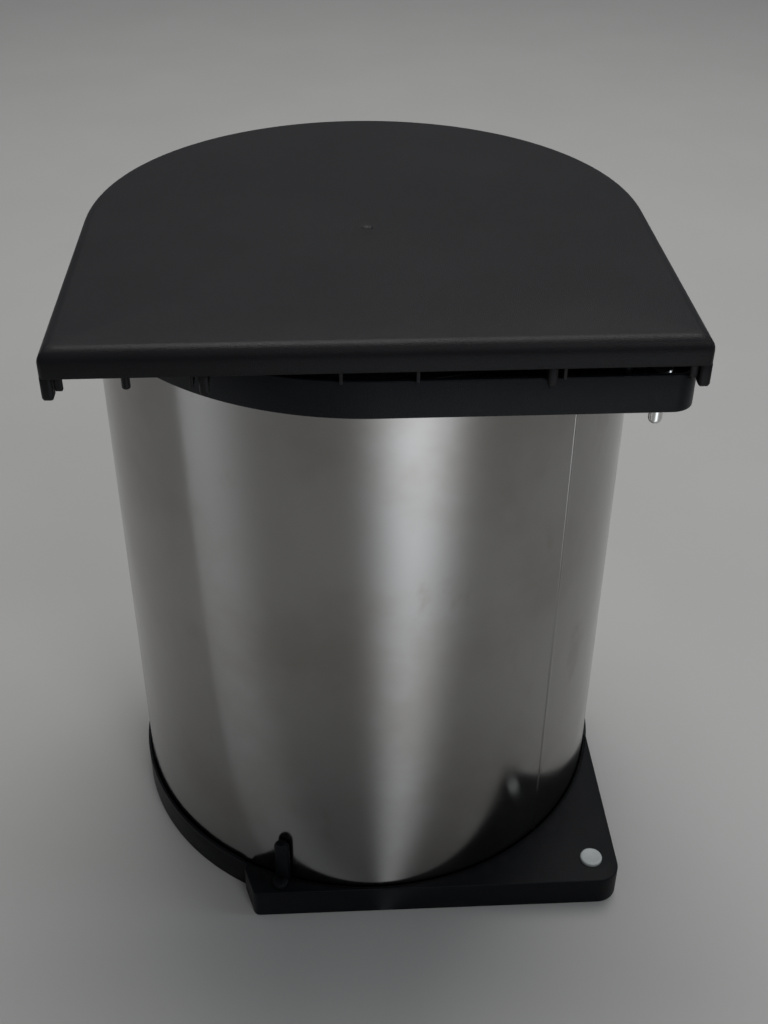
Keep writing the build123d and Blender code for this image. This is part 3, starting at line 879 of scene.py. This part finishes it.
@dataclass
class UpperFrame:
    """The ring that caps the shell, with the hollow arm for the pivot pin.

    Args:
        material: its finish.
        steel: finish of the pin and the rivets.
        wall: wall of the arm in metres.
        corner: plan radius of the arm's corner in metres.
    """

    material: bpy.types.Material
    steel: bpy.types.Material
    wall: float = 2.4 * MM
    corner: float = 10.0 * MM

    def build(self) -> None:
        """Makes the outer wall, the ring, the ledge, the arm's ribs and the pin."""
        low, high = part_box("top_frame")
        radius = high.y
        right, front, c = self.pivot()[0] + 13.2 * MM, low.y, self.corner
        meet = -math.degrees(math.acos(right / radius))
        outline = chain(arc(0.0, 0.0, radius, meet, 270.0, 160),
                        arc(right - c, front + c, c, 270.0, 360.0, 14))
        wall = carried(outline, rounded_loop(0.0, self.wall, low.z, high.z, 0.6 * MM, 5))
        ring = carried(circle(radius - 0.4 * MM, count=192),
                       rounded_loop(0.0, 3.1 * MM, low.z + 0.1 * MM, high.z - 0.1 * MM, 0.5 * MM))
        ledge = carried(circle(radius - 3.2 * MM, count=192),
                        rounded_loop(0.0, 8.8 * MM, high.z - 8.7 * MM, high.z - 6.3 * MM, 0.4 * MM))
        made = [ring, ledge, self.arm_plate(radius, right, front, high.z), *self.arm_ribs(low.z, high.z)]
        add_piece("frame_moulding", wall.joined(*made), self.material, "bin", "top_frame")
        self.pin()

    def arm_plate(self, radius: float, right: float, front: float, top: float) -> Surface:
        """The web inside the arm, from the wall in to the ring, with two round collars on it.

        Args:
            radius: outer radius of the ring in metres.
            right, front: outer sides of the arm in metres.
            top: top of the frame in metres.

        Returns:
            A closed plate between the wall's line and the ring, and the collars.
        """
        depth, c, high, low = 1.0 * MM, self.corner, top - 8.8 * MM, top - 10.4 * MM
        back_y = -math.sqrt((radius - depth) ** 2 - (right - depth) ** 2) - depth
        path = chain(straight((4.0 * MM, front), (right - c, front), 40, slice(0, -1)),
                     arc(right - c, front + c, c, 270.0, 360.0, 14),
                     straight((right, front + c), (right, back_y), 16, slice(1, None)), loop=Loop.OPEN)
        outer = path.inset(depth)
        inner = towards(outer) * (radius - 2.0 * MM)
        columns = [at_height(plan, z)
                   for plan, z in ((outer, low), (outer, high), (inner, high), (inner, low))]
        plate = woven(np.stack(columns, axis=1), Loop.OPEN, Loop.CLOSED, True)
        x, y = self.pivot()
        collars = [carried(circle(2.9 * MM, x + dx * MM, y + dy * MM, 32),
                           rounded_loop(0.0, 0.7 * MM, high - 0.3 * MM, high + 0.5 * MM, 0.2 * MM))
                   for dx, dy in ((-12.7, 8.6), (-7.2, 9.1))]
        return plate.joined(*collars)

    def arm_ribs(self, bottom: float, top: float) -> list:
        """Boss and ribs inside the arm."""
        pivot = self.pivot()
        rib_top = top - 5.6 * MM
        plate_z = top - 8.8 * MM
        boss = carried(circle(5.9 * MM, *pivot, 40), rounded_loop(0.0, 2.35 * MM, bottom, rib_top, 0.3 * MM))
        made = [boss]
        for dx, dy in ((11.0, 0.0), (-14.0, 40.0), (1.3, -13.0)):
            way = Vector((dx, dy)).normalized()
            far = min(math.hypot(dx, dy), 34.0) * MM
            start, end = ((pivot[0] + way.x * d, pivot[1] + way.y * d) for d in (5.0 * MM, far))
            made.append(rib(start, end, 2.0 * MM, bottom, plate_z + 0.1 * MM))
        for x in (65.0 * MM, 85.0 * MM):
            back = -math.sqrt((132.0 * MM) ** 2 - x ** 2)
            made.append(rib((x, -132.4 * MM), (x, back), 2.0 * MM, bottom + 0.2 * MM, plate_z + 0.1 * MM))
        return made

    @staticmethod
    def pivot() -> tuple:
        """Plan place of the pivot line, from the pin's own box."""
        low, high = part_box("pivot_pin")
        return (low.x + high.x) / 2, (low.y + high.y) / 2

    def pin(self) -> None:
        """Turns the steel pin: rounded tip, free end, neck and flat head."""
        low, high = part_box("pivot_pin")
        tip, neck, head = 3.0 * MM, 3.5 * MM, 5.0 * MM
        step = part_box("pin_clip")[0].z - 0.3 * MM
        a = np.radians(np.linspace(0.0, 90.0, 12))
        point = np.stack([tip - 2.4 * MM + 2.4 * MM * np.sin(a), low.z + 2.4 * MM * (1 - np.cos(a))], axis=1)
        under = high.z - 2.0 * MM
        rest = np.array([[tip, step - 0.1 * MM], [tip + 0.1 * MM, step], [neck, step], [neck, under],
                         [head, under], [head, high.z - 0.5 * MM], [head - 0.5 * MM, high.z], [0.0, high.z]])
        point = np.concatenate([[[0.0, low.z]], point])
        x, y = self.pivot()
        pin = turned(np.concatenate([point, rest]), x, y, 40)
        add_piece("pivot_pin_turned", pin, self.steel, "pivot", "pivot_pin")
        dress(self.steel, "pin_clip", "frame_rivets", "base_rivets", "post_screw")


@dataclass
class BaseMoulding:
    """The round tray with its square-cornered block, the bush and the stop post.

    Args:
        material: finish of the tray and the post.
        nylon: finish of the bush.
        plate_z: top of the block in metres.
        plate: thickness of the block's top in metres.
        wall: thickness of its skirt in metres.
        edge: radius of its upper edge in metres.
    """

    material: bpy.types.Material
    nylon: bpy.types.Material
    plate_z: float = 17.9 * MM
    plate: float = 2.4 * MM
    wall: float = 2.4 * MM
    edge: float = 0.8 * MM

    def build(self) -> None:
        """Makes the tray, the block, the bosses and ribs, the bush and the post."""
        low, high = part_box("base_tray")
        radius = high.y
        lip = carried(circle(radius, count=240),
                      rounded_loop(0.0, 1.7 * MM, low.z, self.plate_z, 0.4 * MM, 5))
        raised = self.raised_lip(radius, high.z)
        floor = turned(np.array([[0.0, 2.5], [130.0, 2.5], [133.6, 2.5], [133.6, 5.5], [130.0, 5.5],
                                 [0.0, 5.5]]) * MM, count=120)
        hub = prism(circle(18.0 * MM), 0.0, 3.0 * MM, 0.4 * MM)
        foot = carried(circle(133.4 * MM, count=160), rounded_loop(0.0, 2.7 * MM, 0.0, 3.0 * MM, 0.3 * MM))
        collar = carried(circle(131.8 * MM, count=160),
                         rounded_loop(0.0, 2.0 * MM, 5.0 * MM, 15.0 * MM, 0.4 * MM))
        spokes = [rib(17.0 * MM * way, 132.0 * MM * way, 2.0 * MM, 0.6 * MM, 3.0 * MM)
                  for way in arc(0.0, 0.0, 1.0, 0.0, 330.0, 12)[0]]
        parts = [raised, floor, hub, foot, collar, *spokes, *self.block(radius), *self.bosses(radius)]
        add_piece("base_moulding", lip.joined(*parts), self.material, "bin", "base_tray")
        self.bush()
        self.post()

    def raised_lip(self, radius: float, top: float) -> Surface:
        """The part of the lip that stands above the block's top, round the free side of the tray.

        Args:
            radius: outer radius of the tray in metres.
            top: top of the lip in metres.

        Returns:
            A closed arc whose ends sink to the block's level by a quarter cosine.
        """
        count = 200
        plan, normal = arc(0.0, 0.0, radius, *self.free_arc(radius), count)
        share = np.linspace(0.0, 1.0, count)
        ease = np.sin(np.clip(np.minimum(share, 1.0 - share) / 0.012, 0.0, 1.0) * np.pi / 2)
        low = self.plate_z - 1.5 * MM
        section = rounded_loop(0.0, 1.7 * MM, low, top, 0.5 * MM, 5)
        flat = plan[:, None, :] - section[None, :, :1] * normal[:, None, :]
        level = low + 1.45 * MM
        height = np.minimum(section[None, :, 1], level + (top - level) * ease[:, None])
        return woven(np.concatenate([flat, height[:, :, None]], axis=2), Loop.OPEN, Loop.CLOSED, True)

    def left_line(self) -> tuple:
        """The block's left side: X = reach - lean (Y - front), as reach, lean and front in metres."""
        return -66.5 * MM, 0.32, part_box("base_tray")[0].y

    def free_arc(self, radius: float) -> tuple:
        """Angles in degrees between which the tray's edge stands free of the block."""
        reach, lean, front = self.left_line()
        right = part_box("base_tray")[1].x - 2.4 * MM
        angle = np.radians(np.linspace(180.0, 270.0, 2001))
        gap = radius * np.cos(angle) - reach + lean * (radius * np.sin(angle) - front)
        return -math.degrees(math.acos(right / radius)), math.degrees(angle[np.argmax(gap > 0)])

    def block(self, radius: float) -> list:
        """The block's skirt and plate: at each point of its edge a closed profile that runs in to the tray.

        Args:
            radius: outer radius of the tray in metres.

        Returns:
            The block, and two raised lips beside the slit at its left end.
        """
        left, lean, front = self.left_line()
        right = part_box("base_tray")[1].x - 2.4 * MM
        near, far = 4.0 * MM, 12.0 * MM
        back_y = -math.sqrt((radius - 1.0 * MM) ** 2 - right ** 2)
        centre = (left - lean * near + near * math.hypot(1.0, lean), front + near)
        corner = arc(*centre, near, 180.0 + math.degrees(math.atan(lean)), 270.0, 8)
        depth = 18.0 * MM
        path = chain(straight((left - lean * depth, front + depth), tuple(corner[0][0]), 8, slice(0, -1)),
                     corner, straight((centre[0], front), (right - far, front), 24),
                     arc(right - far, front + far, far, 270.0, 360.0, 14),
                     straight((right, front + far), (right, back_y), 12, slice(1, None)), loop=Loop.OPEN)
        a = np.radians(np.linspace(0.0, 90.0, 6))
        rise = np.stack([self.edge * (1 - np.cos(a)), self.plate_z - self.edge * (1 - np.sin(a))], axis=1)
        outer = np.concatenate([[[0.4 * MM, 0.0], [0.0, 0.4 * MM]], rise])
        inside = towards(path.points) * (radius - 0.8 * MM)
        bottom = self.plate_z - self.plate
        columns = [at_height(path.inset(d), z) for d, z in outer]
        columns += [at_height(inside, self.plate_z), at_height(inside, bottom)]
        columns += [at_height(path.inset(self.wall), z) for z in (bottom, 0.0)]
        slit_x, slit_y = left + 4.3 * MM, front + 8.3 * MM
        lips = [bar(slit_x + d - 0.3 * MM, slit_x + d + 0.3 * MM, slit_y - 0.6 * MM, slit_y + 6.4 * MM,
                    self.plate_z - 1.0 * MM, self.plate_z + 0.45 * MM, 0.25 * MM)
                for d in (-0.9 * MM, 0.9 * MM)]
        return [woven(np.stack(columns, axis=1), Loop.OPEN, Loop.CLOSED, True), *lips]

    def bosses(self, radius: float) -> list:
        """Bosses and ribs below the block."""
        x, y = UpperFrame.pivot()
        top = self.plate_z - self.plate + 0.3 * MM
        post = self.post_place()
        made = [carried(circle(7.4 * MM, x, y, 40), rounded_loop(0.0, 2.35 * MM, 0.0, top, 0.3 * MM)),
                carried(circle(5.2 * MM, *post, 32), rounded_loop(0.0, 2.3 * MM, 0.6 * MM, top, 0.3 * MM))]
        reach = radius - 0.9 * MM
        for angle in np.radians((-62.0, -45.0, -28.0)):
            start = (reach * math.cos(angle), reach * math.sin(angle))
            way = Vector((start[0] - x, start[1] - y)).normalized() * 6.5 * MM
            made.append(rib(start, (x + way.x, y + way.y), 2.0 * MM, 1.0 * MM, top))
        return made

    def bush(self) -> None:
        """Turns the nylon bush: blind bore below, dished cap above."""
        cap, crown, dip = 6.0 * MM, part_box("base_bush")[1].z, 0.4 * MM
        r = np.linspace(5.1 * MM, 0.0, 10)
        dish = np.stack([r, crown - dip * (1 - (r / (5.1 * MM)) ** 2)], axis=1)
        a = np.radians(np.linspace(0.0, 90.0, 8))
        shoulder = np.stack([cap - 0.9 * MM * (1 - np.cos(a)), crown - 0.9 * MM * (1 - np.sin(a))], axis=1)
        under = np.array([[0.0, 15.0], [3.05, 15.0], [3.05, 0.9], [3.3, 0.6], [4.7, 0.6], [5.0, 0.9],
                          [5.0, 17.9], [6.0, 17.92]]) * MM
        x, y = UpperFrame.pivot()
        bush = turned(np.concatenate([under, shoulder, dish]), x, y, 56)
        add_piece("nylon_bush", bush, self.nylon, "bin", "base_bush", 50.0)

    @staticmethod
    def post_place() -> tuple:
        """Plan place of the post's foot, from the screw's own box."""
        low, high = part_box("post_screw")
        return (low.x + high.x) / 2, (low.y + high.y) / 2

    def post(self) -> None:
        """Makes the stop post: turned foot and shank, and a blade with rounded corners near the shell."""
        low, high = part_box("stop_post")
        x, y = self.post_place()
        foot = turned(np.array([[0.0, low.z], [2.7 * MM, low.z], [2.75 * MM, self.plate_z - 0.1 * MM],
                                [4.1 * MM, self.plate_z + 0.02 * MM], [4.2 * MM, self.plate_z + 0.2 * MM],
                                [4.2 * MM, self.plate_z + 3.2 * MM], [3.9 * MM, self.plate_z + 3.55 * MM],
                                [0.0, self.plate_z + 3.6 * MM]]), x, y, 40)
        half, depth, reach = 4.1 * MM, 2.2 * MM, 135.3 * MM
        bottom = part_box("base_tray")[1].z + 0.3 * MM
        z = np.concatenate([[bottom, bottom + 0.2 * MM], np.linspace(bottom + 2 * MM, high.z - 3.0 * MM, 8)])
        a = np.radians(np.linspace(0.0, 90.0, 9))[1:]
        z = np.concatenate([z, high.z - 3.0 * MM * (1 - np.sin(a))])
        width = np.concatenate([[half - 0.2 * MM], np.full(9, half), half - 3.0 * MM * (1 - np.cos(a))])
        shape = rounded_rectangle(-depth, depth, -half, half, 2.0 * MM, 7).points
        rows = [at_height(shape * (0.95 if h == bottom else 1.0, w / half), h) for w, h in zip(width, z)]
        place = Matrix.Rotation(math.atan2(y, x), 4, "Z") @ Matrix.Translation((reach, 0.0, 0.0))
        blade = woven(np.stack(rows), Loop.OPEN, Loop.CLOSED, True).moved(place)
        add_piece("stop_post_moulded", foot.joined(blade), self.material, "bin",
                  "stop_post", 50.0)


@dataclass
class Bucket:
    """The lift-out bucket with its bail.

    Args:
        material: finish of the bucket.
        wire: finish of the bail.
        roll: finish of the grip.
    """

    material: bpy.types.Material
    wire: bpy.types.Material
    roll: bpy.types.Material

    def build(self) -> None:
        """Makes the bucket, the wire and the grip."""
        self.pail()
        self.bail()

    def pail(self) -> None:
        """Turns the bucket's section: foot radius, tapered wall, turned-out rim; lugs stand on the rim."""
        low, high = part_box("inner_bucket")
        rim = high.y
        bottom, rim_top = low.z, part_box("bail_wire")[0].z - 0.7 * MM
        foot, top, wall = 106.0 * MM, 119.0 * MM, 2.0 * MM
        a = np.radians(np.linspace(0.0, 90.0, 9))
        outer_foot = np.stack([foot - 8 * MM + 8 * MM * np.sin(a), bottom + 8 * MM * (1 - np.cos(a))], axis=1)
        inner_foot = np.stack([foot - 8 * MM + 6 * MM * np.cos(a),
                               bottom + wall + 6 * MM * (1 - np.sin(a))], axis=1)
        rim_low = rim_top - 2.5 * MM
        lip = np.array([[top - 0.2 * MM, rim_low - 1.0 * MM], [top + 0.6 * MM, rim_low],
                        [rim - 0.6 * MM, rim_low], [rim, rim_low + 0.6 * MM], [rim, rim_top - 0.8 * MM],
                        [rim - 0.3 * MM, rim_top - 0.25 * MM], [rim - 0.9 * MM, rim_top],
                        [top - wall + 0.6 * MM, rim_top], [top - wall, rim_top - 0.6 * MM]])
        profile = np.concatenate([[[0.0, bottom]], outer_foot, lip, inner_foot, [[0.0, bottom + wall]]])
        body = turned(profile, count=160)
        z = (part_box("bail_wire")[0].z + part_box("bail_wire")[1].z) / 2
        lugs = []
        for side in (-1, 1):
            tab = prism(self.lug_outline(), -1.5 * MM, 1.5 * MM, 0.4 * MM)
            place = Matrix.Translation((side * 117.2 * MM, 0.0, z)) @ Matrix(
                ((0, 0, 1, 0), (1, 0, 0, 0), (0, 1, 0, 0), (0, 0, 0, 1)))
            lugs.append(tab.moved(place))
        add_piece("bucket_moulding", body.joined(*lugs), self.material, "bucket",
                  "inner_bucket")

    @staticmethod
    def lug_outline() -> Outline:
        """A tab with a half-round head and a straight foot."""
        half = 6.5 * MM
        return chain(arc(0.0, 0.0, half, 0.0, 180.0, 17),
                     arc(-half + 1.0 * MM, -4.0 * MM, 1.0 * MM, 180.0, 270.0, 4),
                     arc(half - 1.0 * MM, -4.0 * MM, 1.0 * MM, 270.0, 360.0, 4))

    def path(self) -> np.ndarray:
        """Middle line of the wire: stub, bend, long arc, shoulder and straight middle, then mirrored.

        Returns:
            Plan points of shape (count, 2), from the right end to the left one.
        """
        reach, bend, sweep, shoulder, stub = 123.0 * MM, 4.0 * MM, 48.0, 30.0 * MM, 9.5 * MM
        first = np.array([[reach - stub, 0.0]])
        corner, _ = arc(reach - bend, bend, bend, -90.0, 0.0, 9)
        side, _ = arc(0.0, bend, reach, 0.0, sweep, 40)
        turn = math.radians(sweep)
        centre = ((reach - shoulder) * math.cos(turn), bend + (reach - shoulder) * math.sin(turn))
        hip, _ = arc(*centre, shoulder, sweep, 90.0, 16)
        half = np.concatenate([first, corner, side[1:], hip[1:]])
        return np.concatenate([half, half[::-1] * np.array([-1.0, 1.0])])

    def bail(self) -> None:
        """Carries a circle along the wire's line: point = p + r (cos a n + sin a z), with rounded ends."""
        low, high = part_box("bail_wire")
        z, radius = (low.z + high.z) / 2, 1.8 * MM
        line = self.path()
        along = np.gradient(line, axis=0)
        along /= np.linalg.norm(along, axis=1)[:, None]
        across = np.stack([along[:, 1], -along[:, 0]], axis=1)
        a = np.linspace(0.0, 2 * np.pi, 25)[:-1]
        scale = np.ones(len(line))
        ends = np.array([0.0, 0.7])
        line = np.concatenate([line[:1] - along[:1] * 0.8 * MM, line[:1] - along[:1] * 0.5 * MM, line,
                               line[-1:] + along[-1:] * 0.5 * MM, line[-1:] + along[-1:] * 0.8 * MM])
        across = np.concatenate([across[:1], across[:1], across, across[-1:], across[-1:]])
        scale = np.concatenate([ends, scale, ends[::-1]])
        plan = line[:, None, :] + radius * (scale[:, None] * np.cos(a))[:, :, None] * across[:, None, :]
        height = z + radius * scale[:, None] * np.sin(a)
        bent = woven(np.concatenate([plan, height[:, :, None]], axis=2), Loop.OPEN, Loop.CLOSED)
        add_piece("bail_wire_bent", bent, self.wire, "bail", "bail_wire", 60.0)
        self.grip(z)

    def grip(self, z: float) -> None:
        """Turns the grip about the wire: radius dips by a cosine at each of its seven grooves."""
        low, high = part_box("bail_grip")
        length, outer, inner, y = high.x - low.x, 5.0 * MM, 1.85 * MM, (low.y + high.y) / 2
        s = np.linspace(0.0, length, 121)
        groove = length / 8
        dip = np.clip(np.cos(2 * np.pi * s / groove), 0.0, 1.0) ** 6
        dip[(s < groove / 2) | (s > length - groove / 2)] = 0.0
        ends = np.clip(np.minimum(s, length - s) / (1.5 * MM), 0.0, 1.0)
        radius = outer - 1.5 * MM * (1 - np.sqrt(1 - (1 - ends) ** 2)) - 0.5 * MM * dip
        profile = np.concatenate([[[inner, 0.0]], np.column_stack([radius, s]), [[inner, length]],
                                  [[inner, 0.0]]])
        place = Matrix.Translation((low.x, y, z)) @ Matrix.Rotation(math.radians(90.0), 4, "Y")
        roll = turned(profile, count=48).moved(place)
        add_piece("bail_grip_roll", roll, self.roll, "bail", "bail_grip", 50.0)


@dataclass
class Studio:
    """Pale floor, soft lamps and the camera at the photograph's place.

    Args:
        focal: focal length in pixels of a picture 1024 pixels high.
        yaw, pitch, roll: turn of the camera in radians.
        place: camera's place in metres.
        floor_colour: colour of the floor.
    """

    focal: float = 1293.9
    yaw: float = 0.05474
    pitch: float = 0.61374
    roll: float = -0.005575
    place: tuple = (-0.02269, -0.58641, 0.58448)
    floor_colour: tuple = (0.42, 0.42, 0.415)

    def build(self) -> None:
        """Sets up the camera, the floor, the world and the lamps."""
        self.camera()
        self.floor()
        self.glare()
        self.world()
        self.lamp("front_soft", (0.75, -1.75, 1.95), (0.0, 0.0, 0.2), (0.6, 0.9), 8.0, (1.0, 1.0, 1.0))
        self.lamp("right_fill", (1.8, -0.35, 1.1), (0.0, 0.0, 0.2), (0.5, 1.0), 4.0, (0.84, 0.92, 1.0))
        self.lamp("top_soft", (0.15, 0.7, 2.2), (0.0, 0.0, 0.0), (1.5, 1.3), 33.0, (1.0, 0.99, 0.97))
        scene = bpy.context.scene
        scene.view_settings.view_transform = "Standard"

    def camera(self) -> None:
        """Makes the camera, which looks along (sin yaw cos pitch, cos yaw cos pitch, -sin pitch)."""
        level = math.cos(self.pitch)
        forward = Vector((math.sin(self.yaw) * level, math.cos(self.yaw) * level, -math.sin(self.pitch)))
        right = Vector((math.cos(self.yaw), -math.sin(self.yaw), 0.0))
        down = forward.cross(right)
        turned_right = right * math.cos(self.roll) + down * math.sin(self.roll)
        turned_down = forward.cross(turned_right)
        lens = bpy.data.cameras.new("photo_camera")
        lens.sensor_width = 36.0
        lens.lens = self.focal / PICTURE_HEIGHT * lens.sensor_width
        lens.clip_start = 0.01
        camera = bpy.data.objects.new("photo_camera", lens)
        bpy.context.scene.collection.objects.link(camera)
        rows = Matrix((turned_right, -turned_down, -forward)).transposed()
        camera.matrix_world = Matrix.Translation(self.place) @ rows.to_4x4()
        bpy.context.scene.camera = camera

    def floor(self) -> None:
        """Makes a wide pale floor with a very faint mottling."""
        material, nodes, shader = new_material("pale_floor")
        place = nodes.add("ShaderNodeTexCoord").outputs["Object"]
        tone = nodes.remap(nodes.noise(place, 6.0, 5.0), 0.3, 0.7, 0.0, 1.0)
        deep = tuple(0.97 * c for c in self.floor_colour)
        nodes.join(nodes.mix(tone, rgba(deep), rgba(self.floor_colour)), shader.inputs["Base Color"])
        shader.inputs["Roughness"].default_value = 0.70
        shader.inputs["Specular IOR Level"].default_value = 0.1
        r = FLOOR_REACH
        put_on_stage("studio_floor", [(-r, -r, 0.0), (r, -r, 0.0), (r, r, 0.0), (-r, r, 0.0)], material)

    def glare(self) -> None:
        """Lays a window's glare on the floor in front and at the left, seen only in reflections.

        Each streak starts near the tray and widens and brightens with its distance s:
        (least + rise s) exp(-(v / width)^2 ln 2), width = spread s, where v is the distance across it.
        """
        material, nodes, _ = new_material("floor_glare")
        material.node_tree.nodes.clear()
        place = nodes.add("ShaderNodeTexCoord").outputs["Object"]
        split = nodes.add("ShaderNodeSeparateXYZ")
        nodes.join(place, split.inputs[0])
        front = self.streak(nodes, split.outputs, (0.0, -0.126), 20.5, 0.26, 2.7, 0.28)
        left = self.streak(nodes, split.outputs, (0.0, -0.142), -81.2, 0.03, 0.64, 0.26)
        upper = nodes.math("SUBTRACT", 1.0, nodes.add("ShaderNodeNewGeometry").outputs["Backfacing"])
        glow = nodes.feed(nodes.add("ShaderNodeEmission"), Color=(0.92, 0.96, 1.0, 1.0),
                          Strength=nodes.math("MULTIPLY", upper, nodes.math("ADD", front, left)))
        both = nodes.add("ShaderNodeAddShader")
        nodes.join(nodes.add("ShaderNodeBsdfTransparent").outputs[0], both.inputs[0])
        nodes.join(glow.outputs[0], both.inputs[1])
        nodes.join(both.outputs[0], nodes.add("ShaderNodeOutputMaterial").inputs["Surface"])
        r, y, z = CARD_REACH, CARD_START, CARD_LIFT
        put_on_stage("floor_glare", [(-r, -r, z), (r, -r, z), (r, y, z), (-r, y, z)], material, True)

    @staticmethod
    def streak(nodes: Nodes, place: object, start: tuple, turn: float, least: float, rise: float,
               spread: float) -> bpy.types.NodeSocket:
        """Strength of one streak of glare on the floor.

        Args:
            nodes: tree to add to.
            place: outputs X and Y of the place on the floor.
            start: where the streak begins, in metres.
            turn: its direction in degrees from -Y towards +X.
            least, rise: strength at the start and its growth per metre.
            spread: half width over distance.

        Returns:
            The strength.
        """
        way = (math.sin(math.radians(turn)), -math.cos(math.radians(turn)))
        x = nodes.math("SUBTRACT", place["X"], start[0])
        y = nodes.math("SUBTRACT", place["Y"], start[1])
        along = nodes.math("ADD", nodes.math("MULTIPLY", x, way[0]), nodes.math("MULTIPLY", y, way[1]))
        along = nodes.math("MAXIMUM", along, 0.004)
        side = nodes.math("SUBTRACT", nodes.math("MULTIPLY", x, -way[1]), nodes.math("MULTIPLY", y, -way[0]))
        ratio = nodes.math("DIVIDE", side, nodes.math("MULTIPLY", along, spread))
        bell = nodes.math("POWER", 0.5, nodes.math("MULTIPLY", ratio, ratio))
        level = nodes.math("ADD", nodes.math("MULTIPLY", along, rise), least)
        fade = nodes.remap(along, 0.6, 1.0, 1.0, 0.0)
        return nodes.math("MULTIPLY", nodes.math("MULTIPLY", bell, level), fade)

    @staticmethod
    def world() -> None:
        """Lights the room evenly and shows a pale background to the camera."""
        world = bpy.data.worlds.new("studio_world")
        bpy.context.scene.world = world
        world.use_nodes = True
        background = world.node_tree.nodes["Background"]
        background.inputs["Color"].default_value = (0.9, 0.92, 0.95, 1.0)
        background.inputs["Strength"].default_value = 0.18

    @staticmethod
    def lamp(name: str, place: tuple, target: tuple, size: tuple, power: float, colour: tuple) -> None:
        """Adds a rectangular soft lamp.

        Args:
            name: name of the lamp.
            place: where it hangs, in metres.
            target: what it looks at.
            size: width and height in metres.
            power: power in watts.
            colour: its colour.
        """
        light = bpy.data.lights.new(name, "AREA")
        light.shape = "RECTANGLE"
        light.size, light.size_y = size
        light.energy = power
        light.color = colour
        lamp = bpy.data.objects.new(name, light)
        lamp.location = place
        lamp.rotation_euler = (Vector(target) - Vector(place)).to_track_quat("-Z", "Y").to_euler()
        bpy.context.scene.collection.objects.link(lamp)


def main() -> None:
    """Builds the finishes, the pieces and the studio in order."""
    groups = EffectGroups()
    steel = BRIGHT_STEEL.material(groups)
    SteelShell(SHELL_STEEL.material(groups)).build()
    UpperFrame(FRAME_PLASTIC.material(groups), steel).build()
    BaseMoulding(BASE_PLASTIC.material(groups), NYLON.material(groups)).build()
    Bucket(BUCKET_PLASTIC.material(groups), steel, GRIP_PLASTIC.material(groups)).build()
    Lid(LID_PLASTIC.material(groups), BUFFER_RUBBER.material(groups)).build()
    Studio().build()


if __name__ == "__main__":
    main()
